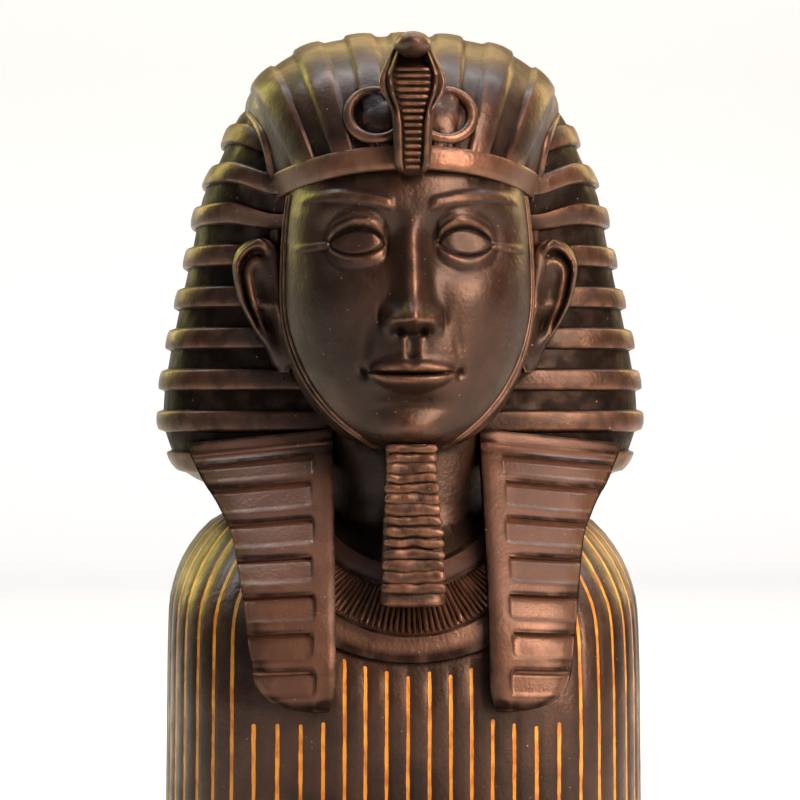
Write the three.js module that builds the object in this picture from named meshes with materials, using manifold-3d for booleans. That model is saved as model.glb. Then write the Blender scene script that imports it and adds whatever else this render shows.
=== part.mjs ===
// A sphinx lying on its plinth, as a cast resin ornament: a king's head in a striped headcloth on
// a lion's body. The figure is one solid, the plinth below it another. Millimetres, +Z up, the
// figure looks along -Y, and the origin is the middle of the plinth's underside.
import * as THREE from "three";
import { mergeVertices } from "three/addons/utils/BufferGeometryUtils.js";
import Module from "manifold-3d";

// Driving dimensions
const figureHeight = 152; // sole to crown
const plinthLength = 250;
const plinthWidth = 99.4;
const plinthHeight = 18;
const plinthBevel = 1.6;

// The carver's grid: the figure is drawn on a net 152 squares high, and every number below,
// down to the plinth, is counted in squares of that net. Heights are counted from the sole.
const gridSquare = figureHeight / 152;

const resin = { color: 0x2b1d18, roughness: 0.38, metalness: 0.15 };

const wasm = await Module();
wasm.setup();

// Small helpers for shapes
const mix = (a, b, t) => a + (b - a) * t;
const clamp = (v, low, high) => Math.min(high, Math.max(low, v));
const ease = (low, high, v) => {
  const t = clamp((v - low) / (high - low), 0, 1);
  return t * t * (3 - 2 * t);
};
const hill = (v, width) => Math.exp(-((v / width) ** 2));
const power = (v, exponent) => Math.sign(v) * Math.abs(v) ** exponent;
const spread = (from, to, count) => Array.from({ length: count }, (_, i) => mix(from, to, i / (count - 1)));
const degrees = (v) => (v * Math.PI) / 180;
const turns = (count) => Array.from({ length: count }, (_, i) => (2 * Math.PI * i) / count);

// A smooth line through [place, value] stations that never overshoots them.
function through(stations) {
  const slope = stations.map((s, i) => {
    if (i === 0 || i === stations.length - 1) return 0;
    const before = (s[1] - stations[i - 1][1]) / (s[0] - stations[i - 1][0]);
    const after = (stations[i + 1][1] - s[1]) / (stations[i + 1][0] - s[0]);
    return before * after <= 0 ? 0 : (2 * before * after) / (before + after);
  });
  return (place) => {
    const last = stations.length - 1;
    if (place <= stations[0][0]) return stations[0][1];
    if (place >= stations[last][0]) return stations[last][1];
    let i = 0;
    while (place > stations[i + 1][0]) i += 1;
    const width = stations[i + 1][0] - stations[i][0];
    const t = (place - stations[i][0]) / width;
    const [p, q] = [stations[i][1], stations[i + 1][1]];
    return (
      p * (1 + 2 * t) * (1 - t) ** 2 +
      slope[i] * width * t * (1 - t) ** 2 +
      q * t * t * (3 - 2 * t) +
      slope[i + 1] * width * t * t * (t - 1)
    );
  };
}

// A closed skin over rings of points [x, y, z], with a fan from the middle of each end ring.
function skin(rings) {
  const count = rings[0].length;
  const middle = (ring) => [0, 1, 2].map((k) => ring.reduce((sum, p) => sum + p[k], 0) / count);
  const points = [...rings.flat(), middle(rings[0]), middle(rings.at(-1))];
  const index = [];
  const [first, last] = [points.length - 2, points.length - 1];
  rings.forEach((ring, r) => {
    for (let i = 0; i < count; i += 1) {
      const j = (i + 1) % count;
      const [a, b] = [r * count + i, r * count + j];
      if (r === 0) index.push(first, b, a);
      if (r === rings.length - 1) index.push(last, a, b);
      else index.push(a, b, b + count, a, b + count, a + count);
    }
  });
  return new THREE.BufferGeometry()
    .setAttribute("position", new THREE.Float32BufferAttribute(points.flat(), 3))
    .setIndex(index);
}

// The solid of a closed geometry, with its faces turned outwards.
function solidOf(geometry) {
  const merged = mergeVertices(geometry.deleteAttribute("normal").deleteAttribute("uv"), 1e-4);
  const vertProperties = merged.attributes.position.array;
  const triVerts = new Uint32Array(merged.index.array);
  const made = new wasm.Manifold(new wasm.Mesh({ numProp: 3, vertProperties, triVerts }));
  if (made.volume() > 0) return made;
  const turned = triVerts.slice();
  for (let i = 0; i < turned.length; i += 3) [turned[i], turned[i + 1]] = [turned[i + 1], turned[i]];
  return new wasm.Manifold(new wasm.Mesh({ numProp: 3, vertProperties, triVerts: turned }));
}

const solid = (rings) => solidOf(skin(rings));
const join = (solids) => solids.reduce((all, one) => all.add(one));
const mirrored = (rings) => rings.map((ring) => ring.map(([x, y, z]) => [-x, y, z]));
const pair = (rings) => [solid(rings), solid(mirrored(rings))];

// A flat ring round a superellipse: half width a, reach before and behind its middle line.
function oval(angle, roundness, a, before, behind) {
  const [s, c] = [Math.sin(angle), Math.cos(angle)];
  const depth = c > 0 ? before : behind;
  return [a * power(s, 2 / roundness), -depth * power(c, 2 / roundness)];
}

// A tube along a curve, its radius given by a function of the share of the way along it.
function tube(curve, radiusAt, sides, steps) {
  const frames = curve.computeFrenetFrames(steps, false);
  return spread(0, 1, steps + 1).map((t, i) => {
    const at = curve.getPointAt(t);
    return turns(sides).map((angle) => {
      const across = frames.normals[i].clone().multiplyScalar(Math.cos(angle));
      across.addScaledVector(frames.binormals[i], Math.sin(angle));
      return at.clone().addScaledVector(across, radiusAt(t)).toArray();
    });
  });
}

const curveOf = (points) => new THREE.CatmullRomCurve3(points.map((p) => new THREE.Vector3(...p)));

// Chest and mane, lofted upwards. The lappets and the collar lie on the same surface.
const chest = {
  axis: -5,
  roundness: through([[0, 3.1], [56, 3.1], [70, 2.4], [77, 2.3]]),
  halfWidth: through([[0, 37.6], [20, 39.1], [42, 39], [52, 38.7], [58.7, 38.1], [62, 37.5], [65.3, 36.4], [68.6, 34.5],
    [72, 31.5], [74.5, 27], [77, 19]]),
  before: through([[0, 34], [20, 36.8], [44, 38.4], [52, 37], [57, 35], [62, 32], [67, 28], [72, 22], [77, 14]]),
  behind: through([[0, 30], [15, 31], [50, 33], [66, 30], [72, 25], [77, 14]]),
  rows: [-2, 12, 28, 43, 53, 60, 65.5, 70, 77],
};

// How far forward the chest reaches at a place seen from the front.
function chestFront(x, z, halfWidth = chest.halfWidth(z), before = chest.before(z)) {
  const n = chest.roundness(z);
  const share = clamp(Math.abs(x) / halfWidth, 0, 0.999);
  return chest.axis - before * (1 - share ** n) ** (1 / n);
}

function chestRings() {
  return chest.rows.map((z) =>
    turns(20).map((angle) => {
      const [x, y] = oval(angle, chest.roundness(z), chest.halfWidth(z), chest.before(z), chest.behind(z));
      return [x, chest.axis + y, z];
    }),
  );
}

// The lion's trunk, lofted from the shoulders back to the rump.
const trunk = {
  rows: [-4, 13, 30, 47, 64.5, 82, 90, 95, 98.5, 101],
  halfWidth: through([[-4, 37.4], [14, 36.8], [26, 33.4], [38, 29.5], [50, 27.6], [68, 30], [84, 30], [94, 26],
    [99, 19], [101, 11]]),
  top: through([[-4, 74], [14, 73], [28, 69.5], [46, 66], [66, 66], [80, 64.5], [90, 58], [96, 50], [99.5, 40], [101, 32]]),
  low: 0.42, // share of the height at which the trunk is widest
};

function trunkRings() {
  return trunk.rows.map((y) => {
    const [half, top] = [trunk.halfWidth(y), trunk.top(y)];
    const widest = top * trunk.low;
    return turns(14).map((angle) => {
      const [s, c] = [Math.sin(angle), Math.cos(angle)];
      const up = c > 0 ? top - widest : widest + 12;
      return [half * power(s, 2 / 2.3), y, widest + up * power(c, 2 / 2.3)];
    });
  });
}

const thigh = { middle: [23, 68, 25], reach: [15.6, 31, 30], lean: 0.2 };

function thighRings() {
  return [-20, 5, 30, 52, 70, 84].map(degrees).map((level) =>
    turns(14).map((angle) => {
      const along = Math.cos(level) * Math.sin(angle);
      const up = Math.cos(level) * Math.cos(angle);
      return [
        thigh.middle[0] + thigh.reach[0] * Math.sin(level),
        thigh.middle[1] + thigh.reach[1] * (along + thigh.lean * up),
        thigh.middle[2] + thigh.reach[2] * up,
      ];
    }),
  );
}

// Paws: a leg lofted along Y whose front end is parted into toes.
const foreleg = {
  middle: 24.4,
  front: -113,
  toes: 4,
  toeLength: 24,
  toeDepth: 2.3,
  halfWidth: through([[-113, 8.6], [-111, 12], [-106, 13.6], [-98, 13.8], [-88, 12.8], [-60, 12.4], [-20, 12.6],
    [8, 12.4], [18, 10.4], [24, 5]]),
  top: through([[-113, 6], [-111.5, 10.5], [-108, 14], [-102, 16.3], [-94, 17], [-84, 17.4], [-60, 20.5],
    [-30, 23.5], [-5, 27], [8, 26], [17, 20], [24, 9]]),
  rows: [-113, -111.8, -109, -104, -97, -88, -60, -30, 8, 17, 22, 24],
};
const hindFoot = {
  middle: 33.4,
  front: 27.5,
  toes: 4,
  toeLength: 14,
  toeDepth: 1.3,
  halfWidth: through([[27.5, 4.4], [28.7, 6.2], [32, 7.3], [38, 7.2], [48, 6.4], [58, 6], [66, 3]]),
  top: through([[27.5, 4], [28.5, 7], [31, 10], [36, 11.6], [42, 11], [52, 11], [60, 9], [66, 4]]),
  rows: [27.5, 28.4, 30.5, 34, 38.5, 47, 58, 66],
};

// Places across a leg: five over each half of its top, then its widest point and its sole.
const overTop = [-0.94, -0.75, -0.5, -0.25, 0, 0.25, 0.5, 0.75, 0.94];

function legRings(leg) {
  return leg.rows.map((y) => {
    const [half, top] = [leg.halfWidth(y), leg.top(y)];
    const from = leg.front + leg.toeLength * 0.45;
    const parted = 1 - ease(from, leg.front + leg.toeLength, y);
    const upper = overTop.map((across) => {
      const between = Math.abs(across) < 0.8 ? Math.abs(Math.cos(((across + 1) / 2) * leg.toes * Math.PI)) : 0;
      const groove = leg.toeDepth * parted * between;
      const up = 0.4 + 0.6 * (1 - Math.abs(across) ** 3.2) ** (1 / 2.2);
      return [leg.middle + half * across, y + groove * 0.9, top * up - groove];
    });
    const lower = [[1, 0.4 * top], [0.97, -2], [-0.97, -2], [-1, 0.4 * top]];
    return [...upper, ...lower.map(([across, z]) => [leg.middle + half * across, y, z])];
  });
}

// The tail leaves the rump on one side, lies along the plinth and climbs on to the thigh.
const tail = {
  path: [[8, 97, 30], [17, 100.5, 18], [28, 97, 7.5], [36, 88, 4.6], [39.2, 74, 5.5], [39.4, 60, 11], [37.6, 50, 18]],
  radius: through([[0, 4.2], [0.3, 3.3], [0.8, 2.8], [0.88, 3.6], [0.95, 3.4], [1, 1.2]]),
};
const tailRings = () => tube(curveOf(tail.path), tail.radius, 6, 13);

// Headcloth: the crown, whose bands run back from the brow, and the wings, whose bands lie level.
const crown = {
  middle: [0, -5, 122],
  halfWidth: 29,
  before: 36.6,
  behind: 22.6,
  above: 29.25,
  roundness: 2.8, // seen from the front
  roundnessAside: 2.2, // and from the side
  foot: 127, // it ends under the brow band
  taper: through([[110, 0.68], [122, 0.74], [130, 0.83], [136, 0.92], [142, 1]]),
  pole: 90, // the height from which the bands spread out, seen from the front
  bandTurns: [-22.9, -14.7, -6.7, 0, 6.7, 14.7, 22.9], // degrees round the pole
  bandHalf: 2.25,
  bandEdge: 0.5,
  bandLift: 0.75,
  lastTurn: 31.4,
};

// How far out a place is on the crown seen from the front: 0 at its middle, 1 on its outline.
function crownShare(x, z) {
  const across = Math.abs(x) / (crown.halfWidth * crown.taper(z));
  const up = Math.max(z - crown.middle[2], 0) / crown.above;
  return (across ** crown.roundness + up ** crown.roundness) ** (1 / crown.roundness);
}

// How far along the line of sight the crown stands out from its widest section, as a share.
const crownDepth = (share) => Math.max(1 - share ** crown.roundnessAside, 0) ** (1 / crown.roundnessAside);

// One ring of the crown: up its front along a turn round the pole, over the top and down the back.
function crownRing(turn, raised) {
  const place = (reach) => [reach * Math.sin(turn), crown.pole + reach * Math.cos(turn)];
  const reachOf = (share) => {
    let [near, far] = [0, 2 * crown.above + crown.middle[2] - crown.pole];
    for (let i = 0; i < 30; i += 1) {
      const half = (near + far) / 2;
      if (crownShare(...place(half)) < share) near = half;
      else far = half;
    }
    return near;
  };
  const first = crownShare(...place((crown.foot - 1 - crown.pole) / Math.cos(turn)));
  const shares = [0, 0.3, 0.58, 0.8, 0.94].map((t) => mix(first, 1, t));
  const front = shares.map((share) => [...place(reachOf(share)), crown.before * crownDepth(share), share]);
  const back = shares.slice(1).reverse().map((share) => [...place(reachOf(share)), -crown.behind * crownDepth(share), share]);
  const foot = [...place(reachOf(first)), -crown.behind * crownDepth(first), first];
  return [...front, [...place(reachOf(1)), 0, 1], ...back, foot].map(([x, z, forward]) => {
    const [px, py, pz] = [x, -forward, z - crown.middle[2]];
    const grow = 1 + (raised * crown.bandLift) / Math.hypot(px, py, pz);
    return [px * grow, crown.middle[1] + py * grow, crown.middle[2] + pz * grow];
  });
}

function crownRings() {
  const turnsOver = [[-crown.lastTurn, 0], [-28, 0]];
  crown.bandTurns.forEach((at) => {
    const [low, high] = [at - crown.bandHalf, at + crown.bandHalf];
    turnsOver.push([low - crown.bandEdge / 2, 0], [low + crown.bandEdge / 2, 1]);
    turnsOver.push([high - crown.bandEdge / 2, 1], [high + crown.bandEdge / 2, 0]);
  });
  turnsOver.push([28, 0], [crown.lastTurn, 0]);
  return turnsOver.map(([turn, raised]) => crownRing(degrees(turn), raised));
}

const wings = {
  axis: 1,
  roundness: 2.9,
  firstBand: 81.7,
  bandEvery: 6.7,
  bandHeight: 3.4,
  bands: 9,
  bandLift: 1.2,
  frontShare: 0.55, // of the bands' lift that shows on the front
  halfWidth: through([[66, 23], [78.6, 27], [79.6, 34], [81.5, 36.6], [84.6, 38.2], [88.5, 39.2], [92, 39.2], [98.5, 38.2],
    [105, 36.9], [111.8, 35.4], [118.5, 33.6], [125, 32.1], [130, 30.4], [134.4, 28], [138, 22], [140, 14]]),
  before: through([[66, 19], [79, 20], [80, 22], [90, 21.5], [108, 20.5], [120, 22.5], [130, 26], [136, 24], [140, 14]]),
  behind: through([[66, 16], [79, 17], [80, 20], [95, 22.5], [115, 23], [124, 22.4], [130, 20.8], [136, 17.4],
    [140, 10]]),
  sag: 6, // how far the bands sink at the back, towards the pigtail
};

// 1 on a raised band of the wings, 0 between the bands.
function wingBand(z, edge = 0.25) {
  const k = Math.round((z - wings.firstBand) / wings.bandEvery);
  if (k < 0 || k >= wings.bands) return 0;
  const away = Math.abs(z - wings.firstBand - k * wings.bandEvery);
  return 1 - ease(wings.bandHeight / 2 - edge, wings.bandHeight / 2 + edge, away);
}

const wingTurns = [0, 34, 54, 72, 90, 112, 142, 180, 218, 248, 270, 288, 306, 326].map(degrees);

function wingRings() {
  const heights = [66, 78.6, 79.6];
  for (let k = 0; k < wings.bands; k += 1) {
    const at = wings.firstBand + k * wings.bandEvery;
    const half = wings.bandHeight / 2;
    if (k > 0) heights.push(at - half - 0.3);
    heights.push(at - half + 0.3, at + half - 0.3, at + half + 0.3);
  }
  heights.push(140);
  return heights.map((z) => {
    const lift = wings.bandLift * wingBand(z);
    return wingTurns.map((angle) => {
      const [x, y] = oval(
        angle,
        wings.roundness,
        wings.halfWidth(z) + lift,
        wings.before(z) + lift * wings.frontShare,
        wings.behind(z) + lift * wings.frontShare,
      );
      return [x, wings.axis + y, z - wings.sag * Math.max(0, -Math.cos(angle)) ** 2 * ease(138, 126, z)];
    });
  });
}

// Lappets: the two ends of the headcloth that hang on the chest, with sunk stripes.
const lappet = {
  inner: 11.7,
  border: 3.3, // plain strip along the inner edge
  top: 87.2,
  bottom: 44.2,
  cornerHeight: 9,
  thickness: 5,
  reach: 41.5,
  firstStripe: 83.1,
  stripeTop: 79.2, // of the second stripe; the others follow it evenly
  stripeEvery: 5.8,
  stripeHeight: 2.9,
  stripes: 6, // below the first
  stripeDepth: 1.2,
  outer: through([[44, 26], [52.4, 25.9], [58.4, 26.7], [64.4, 27.5], [70.3, 28.7], [76.3, 30.4], [80, 32.4], [88, 35]]),
  front: through([[44, 41.2], [50, 41.2], [55, 40.4], [60, 38.7], [65, 36], [70, 32.6], [75, 28.8], [80, 24.8], [88, 19.5]]),
  slope: through([[44, 0.08], [62, 0.1], [78, 0.2], [88, 0.2]]),
};
const stripeTops = [lappet.firstStripe];
for (let k = 0; k < lappet.stripes; k += 1) stripeTops.push(lappet.stripeTop - k * lappet.stripeEvery);

function lappetOuter(z) {
  const corner = clamp((lappet.bottom + lappet.cornerHeight - z) / lappet.cornerHeight, 0, 1);
  return mix(lappet.inner + 4.5, lappet.outer(z), (1 - corner ** 2.4) ** 0.5);
}

// Depth of the sunk stripe at a height, counted along the stripes' slope.
function lappetStripe(height) {
  const top = stripeTops.find((at) => height <= at && height >= at - lappet.stripeHeight);
  return top ? mix(1, 0.4, (top - height) / lappet.stripeHeight) : 0;
}

function lappetRings() {
  const rows = [lappet.top];
  stripeTops.forEach((top) => rows.push(top + 0.2, top - 0.05, top - lappet.stripeHeight));
  rows.push(46, 44.9, lappet.bottom);
  return rows.map((level) => {
    const row = [];
    const drop = (x) => lappet.slope(level) * (x - lappet.inner) * ease(lappet.bottom, lappet.bottom + 3, level);
    const place = (x, back, depth) => {
      const z = level - drop(x);
      const y = chestFront(x, z, lappet.reach, lappet.front(z)) + depth;
      return [x, back ? y + lappet.thickness : y, z];
    };
    const outer = lappetOuter(level);
    const start = lappet.inner + lappet.border;
    const depth = lappet.stripeDepth * lappetStripe(level);
    row.push(place(lappet.inner, false, 0), place(start - 0.1, false, 0));
    spread(Math.min(start + 0.15, outer - 0.7), outer, 3).forEach((x) => row.push(place(x, false, depth)));
    row.push(place(outer, true, 0), place(lappet.inner, true, 0));
    return row;
  });
}

// Collar: three rings round the foot of the neck, drawn as circles seen from the front.
const collar = {
  middle: 76.3,
  rings: [12.4, 15.2, 20.7, 24.5],
  lift: [0.9, 0.45, 0.9],
  spreadAngle: 78,
};

function collarRings() {
  const [r0, r1, r2, r3] = collar.rings;
  const profile = [[r0, -4], [r0, collar.lift[0]], [r1 - 0.15, collar.lift[0]], [r1 + 0.1, collar.lift[1]],
    [r2 - 0.1, collar.lift[1]], [r2 + 0.15, collar.lift[2]], [r3 - 0.2, collar.lift[2]], [r3, -4]];
  return spread(-collar.spreadAngle, collar.spreadAngle, 11).map(degrees).map((angle) =>
    profile.map(([radius, lift]) => {
      const [x, z] = [radius * Math.sin(angle), collar.middle - radius * Math.cos(angle)];
      return [x, chestFront(x, z) - lift, z];
    }),
  );
}

const neck = { axis: -13, halfWidth: 14.5, before: 14.5, behind: 12, from: 58, to: 96 };
const neckRings = () =>
  [neck.from, 65, 70, 78, neck.to].map((z) => {
    const flare = 1 + 0.35 * ease(74, 62, z);
    return turns(12).map((angle) => {
      const [x, y] = oval(angle, 2.2, neck.halfWidth * flare, neck.before * flare, neck.behind);
      return [x, neck.axis + y, z];
    });
  });

// The false beard, a ribbed board that hangs from the chin and stands on the collar.
const beard = {
  top: 86,
  bottom: 61.7,
  ribs: 13,
  ribDepth: 0.6,
  halfWidth: through([[61.7, 4.75], [86, 3.8]]),
  front: through([[61.7, -48.6], [72, -47.2], [86, -44.6]]),
  back: through([[61.7, -33], [70, -27], [86, -24]]),
};

const beardBlockRings = () =>
  [beard.bottom, beard.bottom + 0.8, beard.top].map((z, i) => {
    const [half, front, back] = [beard.halfWidth(z) - (i ? 0 : 0.6), beard.front(z) + (i ? 0.5 : 1.2), beard.back(z)];
    return [[-half, front + 1.4], [-half * 0.7, front], [half * 0.7, front], [half, front + 1.4],
      [half, front + 6.5], [half * 0.6, back], [-half * 0.6, back], [-half, front + 6.5]].map(([x, y]) => [x, y, z]);
  });

function beardRibRings() {
  const rib = (beard.top - beard.bottom) / (beard.ribs + 1);
  const rows = [beard.bottom + rib];
  for (let k = 1; k <= beard.ribs; k += 1) rows.push(beard.bottom + (k + 0.5) * rib, beard.bottom + (k + 1) * rib);
  return rows.map((z, i) => {
    const proud = i % 2 ? beard.ribDepth : -0.1;
    const [half, front] = [beard.halfWidth(z) * 0.97, beard.front(z) + 0.5];
    return [[-half, front + 2.2], [-half * 0.7, front - proud], [half * 0.7, front - proud], [half, front + 2.2]].map(
      ([x, y]) => [x, y, z],
    );
  });
}

// The head, measured in its own height: eyes at the middle, nose and mouth by the usual thirds.
const head = { crown: 148, chin: 83.5, halfWidth: 20.3, widest: 108, ear: -21 };
const headHeight = head.crown - head.chin;
const face = {
  eyeLine: head.chin + headHeight / 2,
  browLine: head.chin + headHeight * 0.578,
  eyeWidth: head.halfWidth * 0.42,
  eyeMiddle: head.halfWidth * 0.415,
  noseHalf: head.halfWidth * 0.2,
  mouthHalf: head.halfWidth * 0.35,
};
face.noseBase = mix(head.chin, face.browLine, 0.5);
face.mouth = mix(head.chin, face.noseBase, 0.66);
face.lipCrease = mix(head.chin, face.noseBase, 0.36);

// How far the features stand out from the plain oval of the face at a place seen from the front.
function features(x, z) {
  const side = Math.abs(x);
  const toEye = side - face.eyeMiddle;
  const up = z - face.eyeLine;
  let out = 0;
  out -= 3.5 * hill(toEye, 5.6) * hill(up - 0.5, 4.3);
  out += 1.1 * hill(side - 9, 8.5) * hill(z - face.browLine - 0.6, 2.2);
  const opening = 1 - (toEye / (face.eyeWidth / 2)) ** 2;
  if (opening > 0) out += 2.3 * Math.sqrt(opening) * hill(up, 2.4);
  out += 0.5 * hill(up - 2.3 * Math.max(opening, 0) ** 0.7, 0.8) * hill(toEye - 0.6, 5.4);
  // nose
  const down = clamp((face.eyeLine + 1.5 - z) / (face.eyeLine + 1.5 - face.noseBase - 1.6), 0, 1);
  const bridge = (0.7 + 5.9 * down ** 1.1) * ease(face.noseBase - 0.7, face.noseBase + 1.3, z);
  out += bridge * hill(side, mix(2, 2.9, down)) * ease(face.eyeLine + 7, face.eyeLine, z);
  out += 2.7 * hill(side - face.noseHalf * 0.78, 1.5) * hill(z - face.noseBase - 1.8, 1.9);
  // mouth and chin
  out += 1.5 * hill(side, 8.5) * hill(z - face.mouth, 6.5);
  const lip = Math.max(0, 1 - (side / face.mouthHalf) ** 2) ** 0.6;
  out += 1.9 * lip * (hill(z - face.mouth - 1.25, 1.05) + 1.1 * hill(z - face.mouth + 1.55, 1.2));
  out -= 0.9 * hill(side, face.mouthHalf * 0.8) * hill(z - face.lipCrease, 1.7);
  out += 3.3 * hill(side, 7) * hill(z - face.lipCrease + 4.6, 3.4);
  out += 0.9 * hill(side - 12.5, 5.5) * hill(z - face.noseBase - 5, 6);
  return out;
}

// A point of the face: turn goes round from the front, level from under the chin to the crown.
function headPoint(turn, level) {
  const [s, c] = [Math.sin(level), Math.max(Math.cos(level), 1e-3)];
  const z = s < 0 ? head.widest + (head.widest - head.chin) * s : head.widest + (head.crown - head.widest) * s;
  const half = head.halfWidth * (s < 0 ? c ** 0.85 : c ** 0.7);
  const rear = head.ear - (s < 0 ? 9 * s * s : 0);
  const front = -22 - 21 * (s < 0 ? c ** 0.32 : c);
  const [across, along] = [power(Math.sin(turn), 2 / 2.25), power(Math.cos(turn), 2 / 2.25)];
  const x = half * across;
  const y = along > 0 ? rear - (rear - front) * along : rear - 10 * along;
  return [x, y - features(x, z) * Math.max(along, 0) ** 0.8 * ease(-1.52, -1.2, level), z];
}

function headRings() {
  const turnAt = [0, 4, 8, 12.5, 17, 22, 27.5, 34, 42, 52, 70, 110];
  const around = [...turnAt, ...turnAt.slice(1).reverse().map((t) => -t)];
  const heights = [84.2, 86, 88.4, 90.8, 92.6, 94.2, 95.8, 97.1, 98.6, 101.2, 103, 106.5, 110, 112.3, 113.7,
    114.8, 116, 117.2, 118.4, 120.4, 122.5, 125, 128];
  return heights.map((z) => {
    const share = z < head.widest ? (z - head.widest) / (head.widest - head.chin) : (z - head.widest) / (head.crown - head.widest);
    const level = Math.asin(clamp(share, -1, 1));
    return around.map((turn) => headPoint(degrees(turn), level));
  });
}

// The band across the brow, which sinks a little towards the temples.
const browBand = { bottom: 125.6, top: 130.4, proud: 0.9, halfWidth: 22.2, before: 36.9, behind: 6, drop: 3.2 };
const browBandRings = () =>
  [[browBand.bottom, -3], [browBand.bottom, 0.2], [browBand.bottom + 0.3, browBand.proud],
    [browBand.top - 0.3, browBand.proud], [browBand.top, 0.2], [browBand.top, -3]].map(([z, lift]) =>
    turns(20).map((angle) => {
      const up = z - browBand.bottom;
      const [half, before] = [browBand.halfWidth + up * 0.24, browBand.before - up * 0.2];
      const [x, y] = oval(angle, 2.3, half + lift, before + lift, browBand.behind);
      return [x, crown.middle[1] + y, z - browBand.drop * (x / browBand.halfWidth) ** 2];
    }),
  );

// Ears: an oval shell with a raised rim and a sunk bowl, turned to the front. The rows and the
// widths go by shares of the ear's height.
const ear = {
  bottom: 96.2,
  top: 116.9,
  front: -23.2,
  lean: 0.1,
  depth: 7.7,
  rows: [0, 0.09, 0.26, 0.45, 0.64, 0.81, 0.93, 1],
  middle: through([[0, 19.2], [0.18, 20.4], [0.47, 22], [0.76, 23.2], [1, 23]]),
  halfWidth: through([[0, 0.9], [0.09, 2], [0.23, 2.6], [0.47, 3.3], [0.71, 4], [0.91, 3.5], [1, 1.2]]),
};

function earRings() {
  return ear.rows.map((share) => {
    const z = mix(ear.bottom, ear.top, share);
    const [middle, half] = [ear.middle(share), ear.halfWidth(share)];
    const bowl = ease(0.1, 0.28, share) * ease(0.96, 0.84, share);
    const front = ear.front + ear.lean * (z - ear.bottom) - 1;
    const row = [[-1, 2.2], [-0.86, 0.6], [-0.45, 1.2 * bowl], [0.2, 2.1 * bowl], [0.72, 0], [1, 0.6], [1, 2.4]].map(
      ([across, sunk]) => [middle + half * across, front + 1.8 * across + sunk, z],
    );
    return [...row, [middle + half * 0.7, front + ear.depth, z], [middle - half * 0.8, front + ear.depth, z]];
  });
}

// The rearing cobra on the brow: ribbed body, hood, head, and a loop of its body on either side.
// Its rows go by shares of its height too.
const cobra = {
  bottom: 125.4,
  top: 143.6,
  rows: [0, 0.045, 0.25, 0.47, 0.61, 0.72, 0.83, 0.91, 1],
  halfWidth: through([[0, 2], [0.045, 2.6], [0.3, 2.7], [0.47, 3.1], [0.64, 4], [0.77, 5], [0.88, 5.1], [1, 4]]),
  front: through([[0, -44.2], [0.25, -44.9], [0.58, -45.3], [0.86, -44.9], [1, -43.6]]),
  back: -30,
  panelDepth: 0.55,
  head: { middle: [0, -43, 144.2], reach: [3.7, 4.8, 2.75] },
  loopMiddle: [5, 134.2],
  loopReach: [4.3, 3.55],
  loopFrom: 140, // degrees round the loop
  loopTo: -165,
  loopRadius: 1,
};

function cobraRings() {
  return cobra.rows.map((share) => {
    const z = mix(cobra.bottom, cobra.top, share);
    const [half, front] = [cobra.halfWidth(share), cobra.front(share)];
    const panel = cobra.panelDepth * ease(0.01, 0.09, share) * ease(0.99, 0.88, share);
    const side = [[0, front + panel], [half * 0.5, front + panel], [half * 0.62, front], [half * 0.85, front + 0.1],
      [half, front + 1], [half * 0.8, front + 2.4], [half * 0.5, cobra.back]];
    return [...side.map(([x, y]) => [x, y, z]), ...side.slice(1).reverse().map(([x, y]) => [-x, y, z])];
  });
}

const cobraHeadRings = () =>
  spread(-70, 70, 5).map(degrees).map((level) =>
    turns(9).map((angle) => [
      cobra.head.middle[0] + cobra.head.reach[0] * Math.cos(level) * Math.sin(angle),
      cobra.head.middle[1] + cobra.head.reach[1] * Math.sin(level),
      cobra.head.middle[2] + cobra.head.reach[2] * Math.cos(level) * Math.cos(angle),
    ]),
  );

function cobraLoopRings() {
  const path = spread(cobra.loopFrom, cobra.loopTo, 11).map(degrees).map((angle) => {
    const x = cobra.loopMiddle[0] + cobra.loopReach[0] * Math.cos(angle);
    const z = cobra.loopMiddle[1] + cobra.loopReach[1] * Math.sin(angle);
    return [x, crown.middle[1] - crown.before * crownDepth(crownShare(x, z)) - 0.15, z];
  });
  return tube(curveOf(path), () => cobra.loopRadius, 5, 10);
}

// The cloth gathered behind the head into a ribbed pigtail that lies on the back.
const pigtail = {
  path: [[0, 15, 92], [0, 20.5, 84], [0, 26, 76], [0, 36, 70.5], [0, 50, 67]],
  half: through([[0, 9], [0.35, 6.5], [0.85, 4.8], [1, 2.6]]),
  ribs: 7,
  ribDepth: 0.7,
};

function pigtailRings() {
  const curve = curveOf(pigtail.path);
  const steps = pigtail.ribs * 2;
  return spread(0, 1, steps + 1).map((t, i) => {
    const at = curve.getPointAt(t);
    const along = curve.getTangentAt(t);
    const out = new THREE.Vector3(0, -along.z, along.y);
    const half = pigtail.half(t) - (i % 2 ? 0 : pigtail.ribDepth);
    return turns(7).map((angle) =>
      at.clone().addScaledVector(out, 0.7 * half * Math.cos(angle)).add(new THREE.Vector3(half * Math.sin(angle), 0, 0)).toArray(),
    );
  });
}

// Everything below a height, to be cut away by a block wider than the figure is long.
const cutterSize = 400;
function below(height) {
  const box = new THREE.BoxGeometry(cutterSize, cutterSize, cutterSize);
  box.translate(0, 0, height - cutterSize / 2);
  return solidOf(box);
}

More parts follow.
